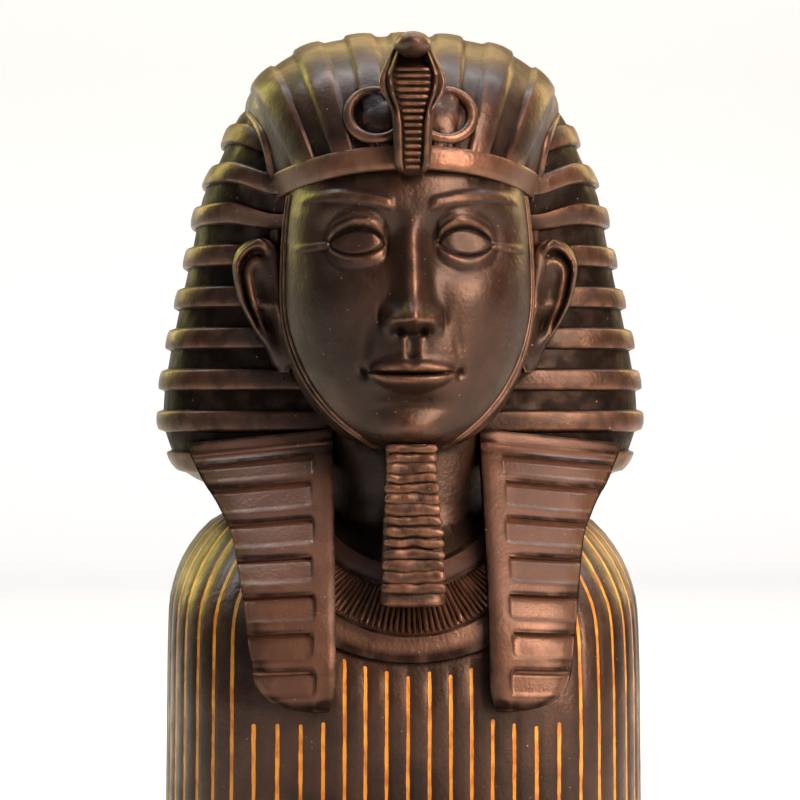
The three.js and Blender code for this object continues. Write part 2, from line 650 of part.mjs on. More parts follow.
function sphinxSolid() {
  const body = join([
    solid(chestRings()),
    solid(trunkRings()),
    ...pair(thighRings()),
    ...pair(legRings(foreleg)),
    ...pair(legRings(hindFoot)),
    solid(tailRings()),
    solid(neckRings()),
    solid(collarRings()),
  ]);
  const headcloth = join([
    solid(crownRings()).subtract(below(crown.foot)),
    solid(wingRings()),
    solid(pigtailRings()),
    ...pair(lappetRings()),
    solid(browBandRings()),
  ]);
  const headAndBeard = join([
    solid(headRings()),
    solid(beardBlockRings()),
    solid(beardRibRings()),
    ...pair(earRings()),
    solid(cobraRings()),
    solid(cobraHeadRings()),
    ...pair(cobraLoopRings()),
  ]);
  return join([body, headcloth, headAndBeard]).subtract(below(0));
}

function geometryOf(made) {
  const mesh = made.getMesh();
  const position = new Float32Array(mesh.numVert * 3);
  for (let i = 0; i < mesh.numVert; i += 1) {
    position.set(mesh.vertProperties.subarray(i * mesh.numProp, i * mesh.numProp + 3), i * 3);
  }
  return new THREE.BufferGeometry()
    .setAttribute("position", new THREE.BufferAttribute(position, 3))
    .setIndex(new THREE.BufferAttribute(mesh.triVerts, 1));
}

// The figure in millimetres, standing on the plinth.
function makeSphinx() {
  const geometry = geometryOf(sphinxSolid());
  geometry.scale(gridSquare, gridSquare, gridSquare);
  geometry.computeVertexNormals();
  const mesh = new THREE.Mesh(geometry, new THREE.MeshStandardMaterial(resin));
  mesh.name = "sphinx";
  mesh.position.z = plinthHeight;
  return mesh;
}

// The plinth, with its upper edge bevelled.
function makePlinth() {
  const [halfWidth, halfLength] = [plinthWidth / 2, plinthLength / 2];
  const outline = (inset) => [
    [halfWidth - inset, halfLength - inset], [-halfWidth + inset, halfLength - inset],
    [-halfWidth + inset, -halfLength + inset], [halfWidth - inset, -halfLength + inset]];
  const levels = [[0, 0], [plinthHeight - plinthBevel, 0], [plinthHeight, plinthBevel]];
  const rings = levels.map(([z, inset]) => outline(inset).map(([x, y]) => [x, y, z]));
  const mesh = new THREE.Mesh(geometryOf(solid(rings)), new THREE.MeshStandardMaterial(resin));
  mesh.geometry.computeVertexNormals();
  mesh.name = "plinth";
  return mesh;
}

const group = new THREE.Group();
group.name = "sphinx_statue";
group.add(makePlinth(), makeSphinx());
export default group;
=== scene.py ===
import math
import bpy
import numpy as np
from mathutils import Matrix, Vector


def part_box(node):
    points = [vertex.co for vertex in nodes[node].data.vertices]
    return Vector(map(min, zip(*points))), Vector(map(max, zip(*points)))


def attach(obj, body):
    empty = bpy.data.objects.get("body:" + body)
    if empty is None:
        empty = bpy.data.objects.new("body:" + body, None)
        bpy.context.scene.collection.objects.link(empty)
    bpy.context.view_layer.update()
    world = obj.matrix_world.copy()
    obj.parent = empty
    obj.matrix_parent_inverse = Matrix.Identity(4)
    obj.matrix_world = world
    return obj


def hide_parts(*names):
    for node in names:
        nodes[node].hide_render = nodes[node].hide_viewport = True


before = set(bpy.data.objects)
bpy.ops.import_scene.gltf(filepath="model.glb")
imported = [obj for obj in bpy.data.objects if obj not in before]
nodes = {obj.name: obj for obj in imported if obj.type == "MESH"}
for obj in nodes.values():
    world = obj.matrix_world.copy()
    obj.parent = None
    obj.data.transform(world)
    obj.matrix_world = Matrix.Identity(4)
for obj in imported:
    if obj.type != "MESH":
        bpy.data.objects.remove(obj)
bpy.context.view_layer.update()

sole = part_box("sphinx")[0][2]
square = (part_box("sphinx")[1][2] - sole) / 152  # the figure is drawn on a net 152 squares high
netOrigin = np.array([0, 0, sole])
print("frame read: one square of the net is", round(square * 1000, 3), "mm")

# The figure's meshes are worked out in squares of the net, x to the right, y to the back, z from the sole.


def through(stations):  # a smooth line through [place, value] stations that never overshoots them
    places, values = np.array(stations, float).T
    rise = np.diff(values) / np.diff(places)
    slope = np.zeros(len(places))
    same = rise[:-1] * rise[1:] > 0
    slope[1:-1][same] = 2 * rise[:-1][same] * rise[1:][same] / (rise[:-1] + rise[1:])[same]

    def at(place):
        place = np.clip(place, places[0], places[-1])
        i = np.clip(np.searchsorted(places, place, side="right") - 1, 0, len(places) - 2)
        width = places[i + 1] - places[i]
        t = (place - places[i]) / width
        held = values[i] * (1 + 2 * t) * (1 - t) ** 2 + values[i + 1] * t * t * (3 - 2 * t)
        return held + width * t * (1 - t) * (slope[i] * (1 - t) - slope[i + 1] * t)

    return at


def mix(a, b, t):
    return a + (b - a) * t


def ease(low, high, v):
    t = np.clip((v - low) / (high - low), 0, 1)
    return t * t * (3 - 2 * t)


def hill(v, width):
    return np.exp(-((v / width) ** 2))


def power(v, exponent):
    return np.sign(v) * np.abs(v) ** exponent


def plateau(v, half, edge):  # 1 inside half, 0 outside, with an edge that wide
    return 1 - ease(half - edge / 2, half + edge / 2, np.abs(v))


def oval(angle, roundness, half, before, behind):
    depth = np.where(np.cos(angle) > 0, before, behind)
    return half * power(np.sin(angle), 2 / roundness), -depth * power(np.cos(angle), 2 / roundness)


def evened(values, rounds):  # the inner rows drawn towards their neighbours
    for _ in range(rounds):
        values[1:-1] = (values[:-2] + 2 * values[1:-1] + values[2:]) / 4
    return values


def routeThrough(path, share, rounds):  # points and directions of a smoothed route through a path
    path = np.array(path, float)
    span = np.linspace(0, 1, len(path))
    route = stack(*[through(np.column_stack([span, path[:, k]]).tolist())(share) for k in range(3)])
    along = np.gradient(evened(route, rounds), axis=0)
    return route, along / np.linalg.norm(along, axis=1, keepdims=True)


def around(count):
    return np.arange(count) * 2 * math.pi / count


def steps(*stations):  # joined stretches, each [from, to, spacing]
    parts = [np.arange(a, b, spacing) for a, b, spacing in stations]
    return np.concatenate([*parts, [stations[-1][1]]])


def stack(x, y, z):
    return np.stack(np.broadcast_arrays(x, y, z), -1).astype(float)


def meshFrom(name, points, faces):
    mesh = bpy.data.meshes.new(name)
    mesh.from_pydata(points * square + netOrigin, [], faces)
    mesh.update()
    return mesh


def skin(name, rings):  # a closed skin over rings of points, with a fan over each end ring
    rows, columns = rings.shape[:2]
    row, column = np.meshgrid(np.arange(rows - 1), np.arange(columns), indexing="ij")
    a = row * columns + column
    b = row * columns + (column + 1) % columns
    quads = np.stack([a, b, b + columns, a + columns], -1).reshape(-1, 4)
    points = np.vstack([rings.reshape(-1, 3), rings[:1].mean(1), rings[-1:].mean(1)])
    start, end, last = rows * columns, rows * columns + 1, (rows - 1) * columns
    fans = [[start, (i + 1) % columns, i] for i in range(columns)]
    fans += [[end, last + i, last + (i + 1) % columns] for i in range(columns)]
    p, q, r, s = (rings.reshape(-1, 3)[quads[:, k]] for k in range(4))
    volume = (np.cross(p, q) * r).sum() + (np.cross(p, r) * s).sum()
    faces = quads.tolist() + fans
    if volume < 0:
        faces = [face[::-1] for face in faces]
    return meshFrom(name, points, faces)


def bothSides(name, rings):
    return [skin(name + "Right", rings), skin(name + "Left", rings * (-1, 1, 1))]


def tube(name, path, radius, sides=10, count=60):  # a tube through the points of a path, smoothed
    share = np.linspace(0, 1, count)
    route, along = routeThrough(path, share, 3)
    side = np.cross(along[0], (0.1, 0.2, 1.0))
    angle = around(sides)[:, None]
    rings = []
    for i in range(count):
        side = side - along[i] * side.dot(along[i])
        side /= np.linalg.norm(side)
        up = np.cross(along[i], side)
        rings.append(route[i] + radius(share[i]) * (side * np.cos(angle) + up * np.sin(angle)))
    return skin(name, np.array(rings))


def holder(mesh):
    obj = bpy.data.objects.new(mesh.name, mesh)
    bpy.context.scene.collection.objects.link(obj)
    return obj


def evaluated(obj):  # a plain mesh of an object with its modifiers
    graph = bpy.context.evaluated_depsgraph_get()
    return bpy.data.meshes.new_from_object(obj.evaluated_get(graph), depsgraph=graph).copy()


def drop(*objects):
    for obj in objects:
        bpy.data.objects.remove(obj, do_unlink=True)


def joined(name, meshes, cuts=()):  # all meshes made one closed body, with the cuts taken away
    body = holder(meshes[0])
    helpers = [holder(mesh) for mesh in [*meshes[1:], *cuts]]
    for i, helper in enumerate(helpers):
        step = body.modifiers.new("step", "BOOLEAN")
        step.solver = "MANIFOLD"
        step.operation = "UNION" if i < len(meshes) - 1 else "DIFFERENCE"
        step.object = helper
    result = evaluated(body)
    result.name = name
    drop(body, *helpers)
    return result


def slab(low, high):  # a plain block between two corners, used to cut with
    across, along, up = zip(low, high)
    corners = [(x, y, z) for z in up for y in along for x in across]
    sides = [[0, 2, 3, 1], [4, 5, 7, 6], [0, 1, 5, 4], [2, 6, 7, 3], [0, 4, 6, 2], [1, 3, 7, 5]]
    return meshFrom("slab", np.array(corners, float), sides)


# Chest and mane
chest = {
    "axis": -5,
    "roundness": through([[0, 3.1], [56, 3.1], [70, 2.4], [77, 2.3]]),
    "half": through([[0, 37.4], [20, 38.6], [42, 38.4], [52, 38.3], [58.7, 38.1], [62, 37.5],
                     [65.3, 36.4], [68.6, 34.5], [72, 31.5], [74.5, 27], [77, 19]]),
    "before": through([[0, 34], [20, 36.8], [44, 38.4], [52, 37], [57, 35], [62, 32], [67, 28],
                       [72, 22], [77, 14]]),
    "behind": through([[0, 30], [15, 31], [50, 33], [66, 30], [72, 25], [77, 14]]),
    # how many gold lines lie between the middle and a length along the chest's girth
    "lines": through([[-6.6, -2], [0, 0], [6.6, 2], [13.1, 4], [20.2, 6], [28, 8], [35.6, 10],
                      [44, 12], [60, 15.6], [130, 30]]),
    "girthOval": (3.1, 38.8, 38.2, 32.5),  # roundness, half, before and behind where the girth is taken
    "lineShift": 0.2,
    "lineApart": 3.4,
    "grooveDepth": 0.28,
    "grooveWidth": 0.52,
    "capeEnd": 9,  # the lines stop here, behind the shoulder
    "linesTop": 76,
    "underCollar": 1.1,
    "underLappet": 1.3,
    "outerLines": 25.2,  # past this far aside nothing covers the lines
    "freeRoom": 9,
    "samplesPerLine": 6,
    "samplesTo": 0.62,  # share of the girth, with plain rings behind it
    "samplesBehind": [0.64, 0.7, 0.85],
    "rows": steps([-2, 38, 3.6], [38, 56, 1.2], [56, 77, 2.0]),
}


def girthTable():  # share of the angle round the chest against length along its girth from the middle
    angle = np.linspace(0, math.pi, 2000)
    x, y = oval(angle, *chest["girthOval"])
    length = np.concatenate([[0], np.cumsum(np.hypot(np.diff(x), np.diff(y)))])
    return angle, length


girthAngle, girthLength = girthTable()


def chestFront(x, z, half=None, before=None):
    half = chest["half"](z) if half is None else half
    before = chest["before"](z) if before is None else before
    n = chest["roundness"](z)
    share = np.clip(np.abs(x) / half, 0, 0.999)
    return chest["axis"] - before * (1 - share ** n) ** (1 / n)


def lineCoordinate(points):  # how many gold lines a point of the chest is away from the middle
    x, y, z = points.T
    n = chest["roundness"](z)
    depth = np.where(y < chest["axis"], chest["before"](z), chest["behind"](z))
    across = power(x / chest["half"](z), n / 2)
    along = power((chest["axis"] - y) / depth, n / 2)
    angle = np.abs(np.arctan2(across, along))
    return np.sign(x) * chest["lines"](np.interp(angle, girthAngle, girthLength)) + chest["lineShift"]


def lineTop(x, z):  # room left under the collar and the lappets before a gold line starts
    side = np.abs(x)
    down, aside = collar["down"][3] + chest["underCollar"], collar["aside"][3]
    underCollar = collar["middle"] - down * np.sqrt(np.maximum(1 - (side / aside) ** 2, 0)) - z
    underLappet = lappet["bottom"] - chest["underLappet"] - z
    room = np.where(side < lappet["inner"] - 0.2, underCollar, underLappet)
    return np.where(side > chest["outerLines"], chest["freeRoom"], room)


def chestSkin():
    fine = np.linspace(0, girthLength[-1] * chest["samplesTo"], 3000)
    wanted = np.arange(0, chest["lines"](fine[-1]), 1 / chest["samplesPerLine"])
    behind = girthLength[-1] * np.array(chest["samplesBehind"])
    girth = np.concatenate([np.interp(wanted, chest["lines"](fine), fine), behind])
    half = np.interp(girth, girthLength, girthAngle)
    angle = np.concatenate([half, [math.pi], -half[:0:-1]])
    z = chest["rows"][:, None]
    n = chest["roundness"](z)
    x, y = oval(angle[None], n, chest["half"](z), chest["before"](z), chest["behind"](z))
    points = stack(x, y + chest["axis"], z)
    flat = points.reshape(-1, 3)
    line = lineCoordinate(flat)
    away = (line - np.round(line)) * chest["lineApart"]
    room = lineTop(flat[:, 0], flat[:, 2])
    depth = chest["grooveDepth"] * hill(away, chest["grooveWidth"]) * ease(0, 0.7, room)
    depth *= ease(chest["capeEnd"], chest["capeEnd"] - 1, flat[:, 1])
    depth *= ease(chest["linesTop"], chest["linesTop"] - 3, flat[:, 2])
    centre = np.array([0, chest["axis"], 0])
    outward = (flat - centre) * (1, 1, 0)
    outward /= np.linalg.norm(outward, axis=1, keepdims=True)
    return skin("chest", (flat - outward * depth[:, None]).reshape(points.shape))


# Lion's trunk with its thighs
trunk = {
    "half": through([[-4, 37.4], [14, 36.8], [26, 33.4], [38, 29.5], [50, 27.6], [68, 30], [84, 30],
                     [94, 26], [99, 19], [101, 11]]),
    "top": through([[-4, 74], [14, 73], [28, 69.5], [46, 66], [66, 66], [80, 64.5], [90, 58], [96, 50],
                    [99.5, 40], [101, 32]]),
    "middle": 26.0,
    "below": 38,
    "roundness": 2.3,
    "thighMiddle": (23, 68, 25),
    "thighReach": (15.6, 31, 30),
    "thighLean": 0.2,
    "ribs": 5,  # faint ribs on the flank
    "ribDepth": 0.35,
    "ribsFrom": 26,
    "ribsTo": 56,
    "ribSlant": 6,
    "ribAngle": 1.35,
    "rows": steps([-4, 88, 2.1], [88, 101, 0.9]),
    "columns": 100,
}


def trunkSkin():
    y = trunk["rows"][:, None]
    angle = around(trunk["columns"])[None]
    s, c = np.sin(angle), np.cos(angle)
    half, top, middle = trunk["half"](y), trunk["top"](y), trunk["middle"]
    n = trunk["roundness"]
    up = np.where(c > 0, top - middle, trunk["below"])
    body = 1 / ((np.abs(s) / half) ** n + (np.abs(c) / up) ** n) ** (1 / n)
    # where a ray from the trunk's middle line leaves the thigh, which is a leaning egg
    mx, my, mz = trunk["thighMiddle"]
    rx, ry, rz = trunk["thighReach"]
    lean = trunk["thighLean"]
    px, dx = -mx / rx, np.abs(s) / rx
    pu, du = (middle - mz) / rz, c / rz
    pa, da = (y - my) / ry - lean * pu, -lean * du
    qa = dx ** 2 + du ** 2 + da ** 2
    qb = 2 * (px * dx + pu * du + pa * da)
    qc = px ** 2 + pu ** 2 + pa ** 2 - 1
    root = qb ** 2 - 4 * qa * qc
    thigh = np.where(root > 0, (-qb + np.sqrt(np.maximum(root, 0))) / (2 * qa), 0)
    bulge = np.maximum(thigh - body, 0)
    for _ in range(2):
        bulge = evened((np.roll(bulge, 1, 1) + 2 * bulge + np.roll(bulge, -1, 1)) / 4, 1)
    first, last = trunk["ribsFrom"], trunk["ribsTo"]
    sides = [hill(turned - trunk["ribAngle"], 0.45) for turned in (angle, 2 * math.pi - angle)]
    flank = ease(first, first + 6, y) * ease(last, last - 8, y) * sum(sides)
    waves = np.cos((y - first + trunk["ribSlant"] * c) / (last - first) * 2 * math.pi * trunk["ribs"])
    reach = body + bulge + trunk["ribDepth"] * waves * flank
    return skin("trunk", stack(reach * s, y, middle + reach * c))


# Legs
foreleg = {
    "middle": 24.4,
    "front": -113,
    "toes": 4,
    "toeLength": 24,
    "toeDepth": 2.3,
    "half": through([[-113, 8.6], [-111, 12], [-106, 13.6], [-98, 13.8], [-88, 12.8], [-60, 12.4],
                     [-20, 12.6], [8, 12.4], [18, 10.4], [24, 5]]),
    "top": through([[-113, 6], [-111.5, 10.5], [-108, 14], [-102, 16.3], [-94, 17], [-84, 17.4],
                    [-60, 20.5], [-30, 23.5], [-5, 27], [8, 26], [17, 20], [24, 9]]),
    "rows": steps([-113, -110, 0.5], [-110, -86, 0.9], [-86, 12, 4.5], [12, 24, 1.5]),
}
hindFoot = {
    "middle": 33.4,
    "front": 27.5,
    "toes": 4,
    "toeLength": 14,
    "toeDepth": 1.3,
    "half": through([[27.5, 4.4], [28.7, 6.2], [32, 7.3], [38, 7.2], [48, 6.4], [58, 6], [66, 3]]),
    "top": through([[27.5, 4], [28.5, 7], [31, 10], [36, 11.6], [42, 11], [52, 11], [60, 9], [66, 4]]),
    "rows": steps([27.5, 30, 0.4], [30, 44, 0.8], [44, 66, 2]),
}


def legRings(leg):
    y = leg["rows"][:, None]
    half, top = leg["half"](y), leg["top"](y)
    across = np.sin(np.linspace(-1, 1, 37) * math.pi / 2 * 0.97)[None]
    parted = 1 - ease(leg["front"] + leg["toeLength"] * 0.45, leg["front"] + leg["toeLength"], y)
    between = np.abs(np.cos((across + 1) / 2 * leg["toes"] * math.pi)) ** 2.2 * (np.abs(across) < 0.8)
    groove = leg["toeDepth"] * parted * between
    up = 0.4 + 0.6 * (1 - np.abs(across) ** 3.2) ** (1 / 2.2)
    upper = stack(leg["middle"] + half * across, y + groove * 0.9, top * up - groove)
    below = [[1, 0.4, 0], [1, 0.2, 0], [0.97, 0, -2], [-0.97, 0, -2], [-1, 0.2, 0], [-1, 0.4, 0]]
    lower = [stack(leg["middle"] + half * a, y, top * b + c) for a, b, c in below]
    return np.concatenate([upper, *lower], 1)


tail = {
    "path": [[8, 97, 30], [17, 100.5, 18], [28, 97, 7.5], [36, 88, 4.6], [39.2, 74, 5.5],
             [39.4, 60, 11], [37.6, 50, 18]],
    "radius": through([[0, 4.2], [0.3, 3.3], [0.8, 2.8], [0.88, 3.6], [0.95, 3.4], [1, 1.2]]),
}


# Headcloth
crown = {
    "middle": (0, -5, 122),
    "half": 29,
    "before": 36.6,
    "behind": 22.6,
    "above": 29.25,
    "roundness": 2.8,  # seen from the front
    "roundnessAside": 2.2,
    "foot": 127,
    "taper": through([[110, 0.68], [122, 0.74], [130, 0.83], [136, 0.92], [142, 1]]),
    "pole": 90,  # height from which the bands spread out, seen from the front
    "bandTurns": [-22.9, -14.7, -6.7, 0, 6.7, 14.7, 22.9],
    "bandHalf": 2.25,
    "bandLift": 0.75,
    "bandEdge": 0.55,
    "lastTurn": 31.4,
    "turns": 150,
    "rows": 26,
}


def crownShare(x, z):  # 0 at the middle of the crown, 1 on its outline
    across = np.abs(x) / (crown["half"] * crown["taper"](z))
    up = np.maximum(z - crown["middle"][2], 0) / crown["above"]
    return (across ** crown["roundness"] + up ** crown["roundness"]) ** (1 / crown["roundness"])


def crownDepth(share):
    return np.maximum(1 - share ** crown["roundnessAside"], 0) ** (1 / crown["roundnessAside"])


def crownFront(x, z):
    return crown["middle"][1] - crown["before"] * crownDepth(crownShare(x, z))


def crownRing(turn, grid):  # up the front along a turn round the pole, over the top and down the back
    reach = np.linspace(0, 90, 900)
    share = crownShare(reach * math.sin(turn), crown["pole"] + reach * math.cos(turn))
    first = np.interp((crown["foot"] - 1 - crown["pole"]) / math.cos(turn), reach, share)
    shares = mix(first, 1, grid)
    shares = np.concatenate([shares, shares[-2::-1]])
    along = np.interp(shares, np.maximum.accumulate(share), reach)
    front = np.arange(len(shares)) < len(grid)
    depth = np.where(front, crown["before"], -crown["behind"]) * crownDepth(np.minimum(shares, 1))
    out = stack(along * math.sin(turn), -depth, crown["pole"] + along * math.cos(turn) - crown["middle"][2])
    away = np.min(np.abs(math.degrees(turn) - np.array(crown["bandTurns"])))
    raised = plateau(away, crown["bandHalf"], crown["bandEdge"])
    raised = raised * (1 - 0.3 * min(1, away / crown["bandHalf"]) ** 2)
    grow = 1 + raised * crown["bandLift"] / np.linalg.norm(out, axis=1, keepdims=True)
    return out * grow + crown["middle"]


def crownSkin():
    grid = np.sin(np.linspace(0, math.pi / 2, crown["rows"])) ** 0.9
    turns = np.radians(np.linspace(-crown["lastTurn"], crown["lastTurn"], crown["turns"]))
    rings = np.array([crownRing(turn, grid) for turn in turns])
    return joined("crown", [skin("crown", rings)], [slab((-60, -60, 80), (60, 60, crown["foot"]))])


wings = {
    "axis": 1,
    "roundness": 2.9,
    "firstBand": 81.7,
    "bandEvery": 6.7,
    "bandHeight": 3.4,
    "bands": 9,
    "bandLift": 1.2,
    "bandEdge": 0.35,
    "bandsFrom": 79.6,
    "bandsTo": 139,
    "frontShare": 0.55,  # of the bands' lift, at the front and the back
    "half": through([[66, 23], [77, 27], [78.2, 32.6], [80.3, 36], [82, 37.2], [84.6, 38.3], [88.5, 39.3],
                     [92, 39.2], [98.5, 38.3], [105, 37.0], [111.8, 35.5], [118.5, 34.1], [125, 32.8],
                     [130, 30.5], [134.4, 28.6], [136.3, 27.9], [138, 27.2], [139.6, 25.6], [140.6, 20.6],
                     [141, 14]]),
    "before": through([[66, 19], [79, 20], [80, 22], [90, 21.5], [108, 20.5], [120, 22.5], [130, 26],
                       [136, 24.5], [139.6, 21], [141, 14]]),
    "behind": through([[66, 16], [79, 17], [80, 20], [95, 22.5], [115, 23], [124, 22.4], [130, 20.8],
                       [136, 17.4], [139.6, 14], [141, 9]]),
    "sag": 6,  # how far the bands drop towards the back
    "dip": 2.6,  # and towards the brow
    "rowsPerBand": [-1.88, -1.7, -1.5, -1.15, -0.4, 0.4, 1.15, 1.5, 1.7, 1.88, 3.3],
    "footRows": [66, 72, 77, 77.6, 78.2, 78.8, 79.3],
    "topRows": [139.2, 139.8, 140.3, 140.7, 141],
    "columns": np.radians([0, 12, 20, 26, *np.arange(30, 100, 2.0), *np.arange(100, 180, 7.0)]),
}


def wingFront(x, z):
    share = np.clip(np.abs(x) / wings["half"](z), 0, 0.999)
    n = wings["roundness"]
    return wings["axis"] - wings["before"](z) * (1 - share ** n) ** (1 / n)


def wingSkin():
    first, every, height = wings["firstBand"], wings["bandEvery"], wings["bandHeight"]
    bandStarts = first + every * np.arange(wings["bands"])
    rows = (bandStarts[:, None] + np.array(wings["rowsPerBand"])).ravel()
    rows = rows[(rows > wings["bandsFrom"]) & (rows < wings["bandsTo"])]
    z = np.unique(np.concatenate([wings["footRows"], rows, wings["topRows"]]))[:, None]
    away = z - first - every * np.round((z - first) / every)
    shape = plateau(away, height / 2, wings["bandEdge"]) * (1 - 0.3 * (away / height * 2) ** 4)
    lift = wings["bandLift"] * shape * ease(79.2, 79.9, z) * ease(138, 136.6, z)
    half = wings["columns"]
    angle = np.concatenate([half, [math.pi], -half[:0:-1]])[None]
    x, y = oval(angle, wings["roundness"], wings["half"](z) + lift,
                *(wings[side](z) + lift * wings["frontShare"] for side in ("before", "behind")))
    sink = wings["sag"] * np.maximum(0, -np.cos(angle)) ** 2 * ease(138, 126, z)
    nearBrow = (1 - ease(20, 29, np.abs(x))) * ease(112, 128, z) * (y < -10) * ease(139, 136, z)
    return skin("wings", stack(x, wings["axis"] + y, z - sink - wings["dip"] * nearBrow))


foldEdge = {
    "path": [[25.2, 138.2], [23.8, 136.2], [22.2, 133.3], [21.3, 129.7], [20.7, 125], [20.5, 121],
             [20.7, 116.5], [21, 112], [21.3, 107]],
    "radius": through([[0, 0.4], [0.25, 1.0], [1, 1.15]]),
    "sunk": 0.5,
}


def foldEdgePath(sign):  # where the crown's cloth is folded round to the wings
    x, z = np.array(foldEdge["path"]).T
    span, fine = np.linspace(0, 1, len(x)), np.linspace(0, 1, 24)
    x, z = (through(np.column_stack([span, line]).tolist())(fine) for line in (x, z))
    wing = wingFront(x, z)
    surface = evened(np.where(z > crown["foot"] + 1, np.minimum(crownFront(x, z), wing), wing), 3)
    return stack(sign * x, surface + foldEdge["sunk"], z)


lappet = {
    "inner": 11.7,
    "border": 3.2,
    "top": 87.2,
    "bottom": 44.5,
    "cornerHeight": 9,
    "innerCorner": 1.1,
    "innerCornerHeight": 4.5,
    "thickness": 5,
    "reach": 41.5,
    "foldTop": 85.2,  # under the folded edge at the top
    "firstStripe": 83.35,
    "stripeTop": 79.4,
    "stripeEvery": 5.68,
    "stripeHeight": 3.6,
    "stripes": 6,
    "stripeDepth": 0.85,
    "grooveDepth": 0.6,  # more at a stripe's upper edge
    "endRound": 0.5,
    "foldDepth": 0.5,
    "foldHeight": 1.6,
    "outer": through([[44, 24.5], [52.4, 24.6], [55.2, 24.9], [62, 25.8], [68, 26.8], [72, 27.6],
                      [77, 29.8], [82, 32.8], [88, 35]]),
    "front": through([[44, 41.2], [50, 41.2], [55, 40.4], [60, 38.7], [65, 36], [70, 32.6], [75, 28.8],
                      [80, 24.8], [88, 19.5]]),
    "slope": through([[44, 0.05], [62, 0.06], [78, 0.1], [88, 0.1]]),
    "borderColumns": [0, 0.15, 0.5, 1.3, 2.4, 2.85, 3.05, 3.2, 3.35, 3.55, 3.9],
    "rowHeight": 0.33,
    "lastRows": [0.8, 0.4, 0.15, 0],
}


def stripeDepth(x, level):  # how deep a lappet is sunk at a place
    tops = [lappet["firstStripe"]]
    tops += [lappet["stripeTop"] - lappet["stripeEvery"] * k for k in range(lappet["stripes"])]
    deep = np.zeros(np.broadcast(x, level).shape)
    for k, top in enumerate(tops):
        height = lappet["stripeHeight"] - (1.0 if k == 0 else 0)
        down = top - level
        middle = (down - height / 2) / (height / 2)
        start = lappet["inner"] + lappet["border"] + (0.3 if k % 2 else 0)
        start = start + lappet["endRound"] * (1 - np.sqrt(np.clip(1 - middle ** 6, 0, 1)))
        inside = ease(-0.12, 0.12, down) * ease(height + 0.16, height - 0.16, down)
        inside = inside * ease(start - 0.15, start + 0.2, x)
        profile = lappet["stripeDepth"] * mix(1, 0.36, np.clip(down / height, 0, 1) ** 0.6)
        deep = np.maximum(deep, (profile + lappet["grooveDepth"] * hill(down - 0.3, 0.22)) * inside)
    fold = lappet["foldTop"] - level
    return deep + lappet["foldDepth"] * ease(-0.1, 0.15, fold) * ease(lappet["foldHeight"], 0.8, fold)


def lappetRings():
    bottom = lappet["bottom"]
    level = np.arange(lappet["top"], bottom + 1.5, -lappet["rowHeight"])
    level = np.concatenate([level, bottom + np.array(lappet["lastRows"])])[:, None]
    corner = np.clip((bottom + lappet["cornerHeight"] - level) / lappet["cornerHeight"], 0, 1)
    outer = mix(lappet["inner"] + 4.5, lappet["outer"](level), (1 - corner ** 2.4) ** 0.5)
    border = lappet["inner"] + np.array(lappet["borderColumns"])[None]
    cut = np.clip((bottom + lappet["innerCornerHeight"] - level) / lappet["innerCornerHeight"], 0, 1)
    toRim = (border[:, -1:] - border) / lappet["borderColumns"][-1]
    border = border + lappet["innerCorner"] * cut ** 2 * toRim
    share = np.concatenate([np.linspace(0.1, 0.95, 9), [0.98, 1]])[None]
    x = np.concatenate([border + 0 * level, mix(border[:, -1:], outer, share)], 1)
    slope = lappet["slope"](level) * ease(bottom, bottom + 3, level)
    z = level - slope * (x - lappet["inner"])
    y = chestFront(x, z, lappet["reach"], lappet["front"](z))
    rounding = 0.5 * (1 - ease(0, 0.9, x - x[:, :1])) + 0.7 * (1 - ease(0, 1.3, outer - x))
    rounding = rounding + 0.8 * (1 - ease(0, 0.9, level - bottom))
    front = stack(x, y + stripeDepth(x, level) * ease(0, 0.9, outer - x + 0.5) + rounding, z)
    back = front[:, ::-1][:, [0, 10, -1]] + (0, lappet["thickness"], 0)
    return np.concatenate([front, back], 1)


# Brow band
browBand = {
    "bottom": 126.95,
    "top": 130.9,
    "proud": 0.85,
    "half": 21.2,
    "drop": 3.3,  # of its ends
    "thickness": 4,
    "endProud": 0.7,
    "columns": 110,
}


def browBandSkin():  # a strip laid over the foot of the crown's bands
    b, proud = browBand, browBand["proud"]
    upper = [[1.3, proud + 0.1], [0.35, proud], [0.1, proud - 0.25], [0, 0.1], [0, -b["thickness"]]]
    lower = [[b["bottom"] + inward - 0.02 * (inward == 0), lift] for inward, lift in upper[::-1]]
    z, lift = np.array(lower + [[b["top"] - inward, lift] for inward, lift in upper]).T[:, None]
    x = b["half"] * np.sin(np.linspace(-1, 1, b["columns"]) * math.pi / 2)[:, None]
    end = (x / b["half"]) ** 2
    lift = lift + b["endProud"] * end * (lift > 0)
    level = z - b["drop"] * end
    return skin("browBand", stack(x, crownFront(x, level) - lift, level))


pigtail = {
    "path": [[0, 15, 92], [0, 20.5, 84], [0, 26, 76], [0, 36, 70.5], [0, 50, 67]],
    "half": through([[0, 9], [0.35, 6.5], [0.85, 4.8], [1, 2.2]]),
    "flatness": 0.7,
    "ribs": 13,
    "ribDepth": 0.75,
    "ringsPerRib": 6,
    "columns": 24,
}


def pigtailSkin():
    share = np.linspace(0, 1, pigtail["ribs"] * pigtail["ringsPerRib"])
    route, along = routeThrough(pigtail["path"], share, 8)
    out = np.column_stack([0 * share, -along[:, 2], along[:, 1]])
    pinch = np.abs(np.cos(share * math.pi * pigtail["ribs"])) ** 3
    half = pigtail["half"](share) - pigtail["ribDepth"] * pinch
    angle = around(pigtail["columns"])[None, :, None]
    side = np.array([1.0, 0, 0])
    across = pigtail["flatness"] * out[:, None] * np.cos(angle) + side * np.sin(angle)
    return skin("pigtail", route[:, None] + half[:, None, None] * across)


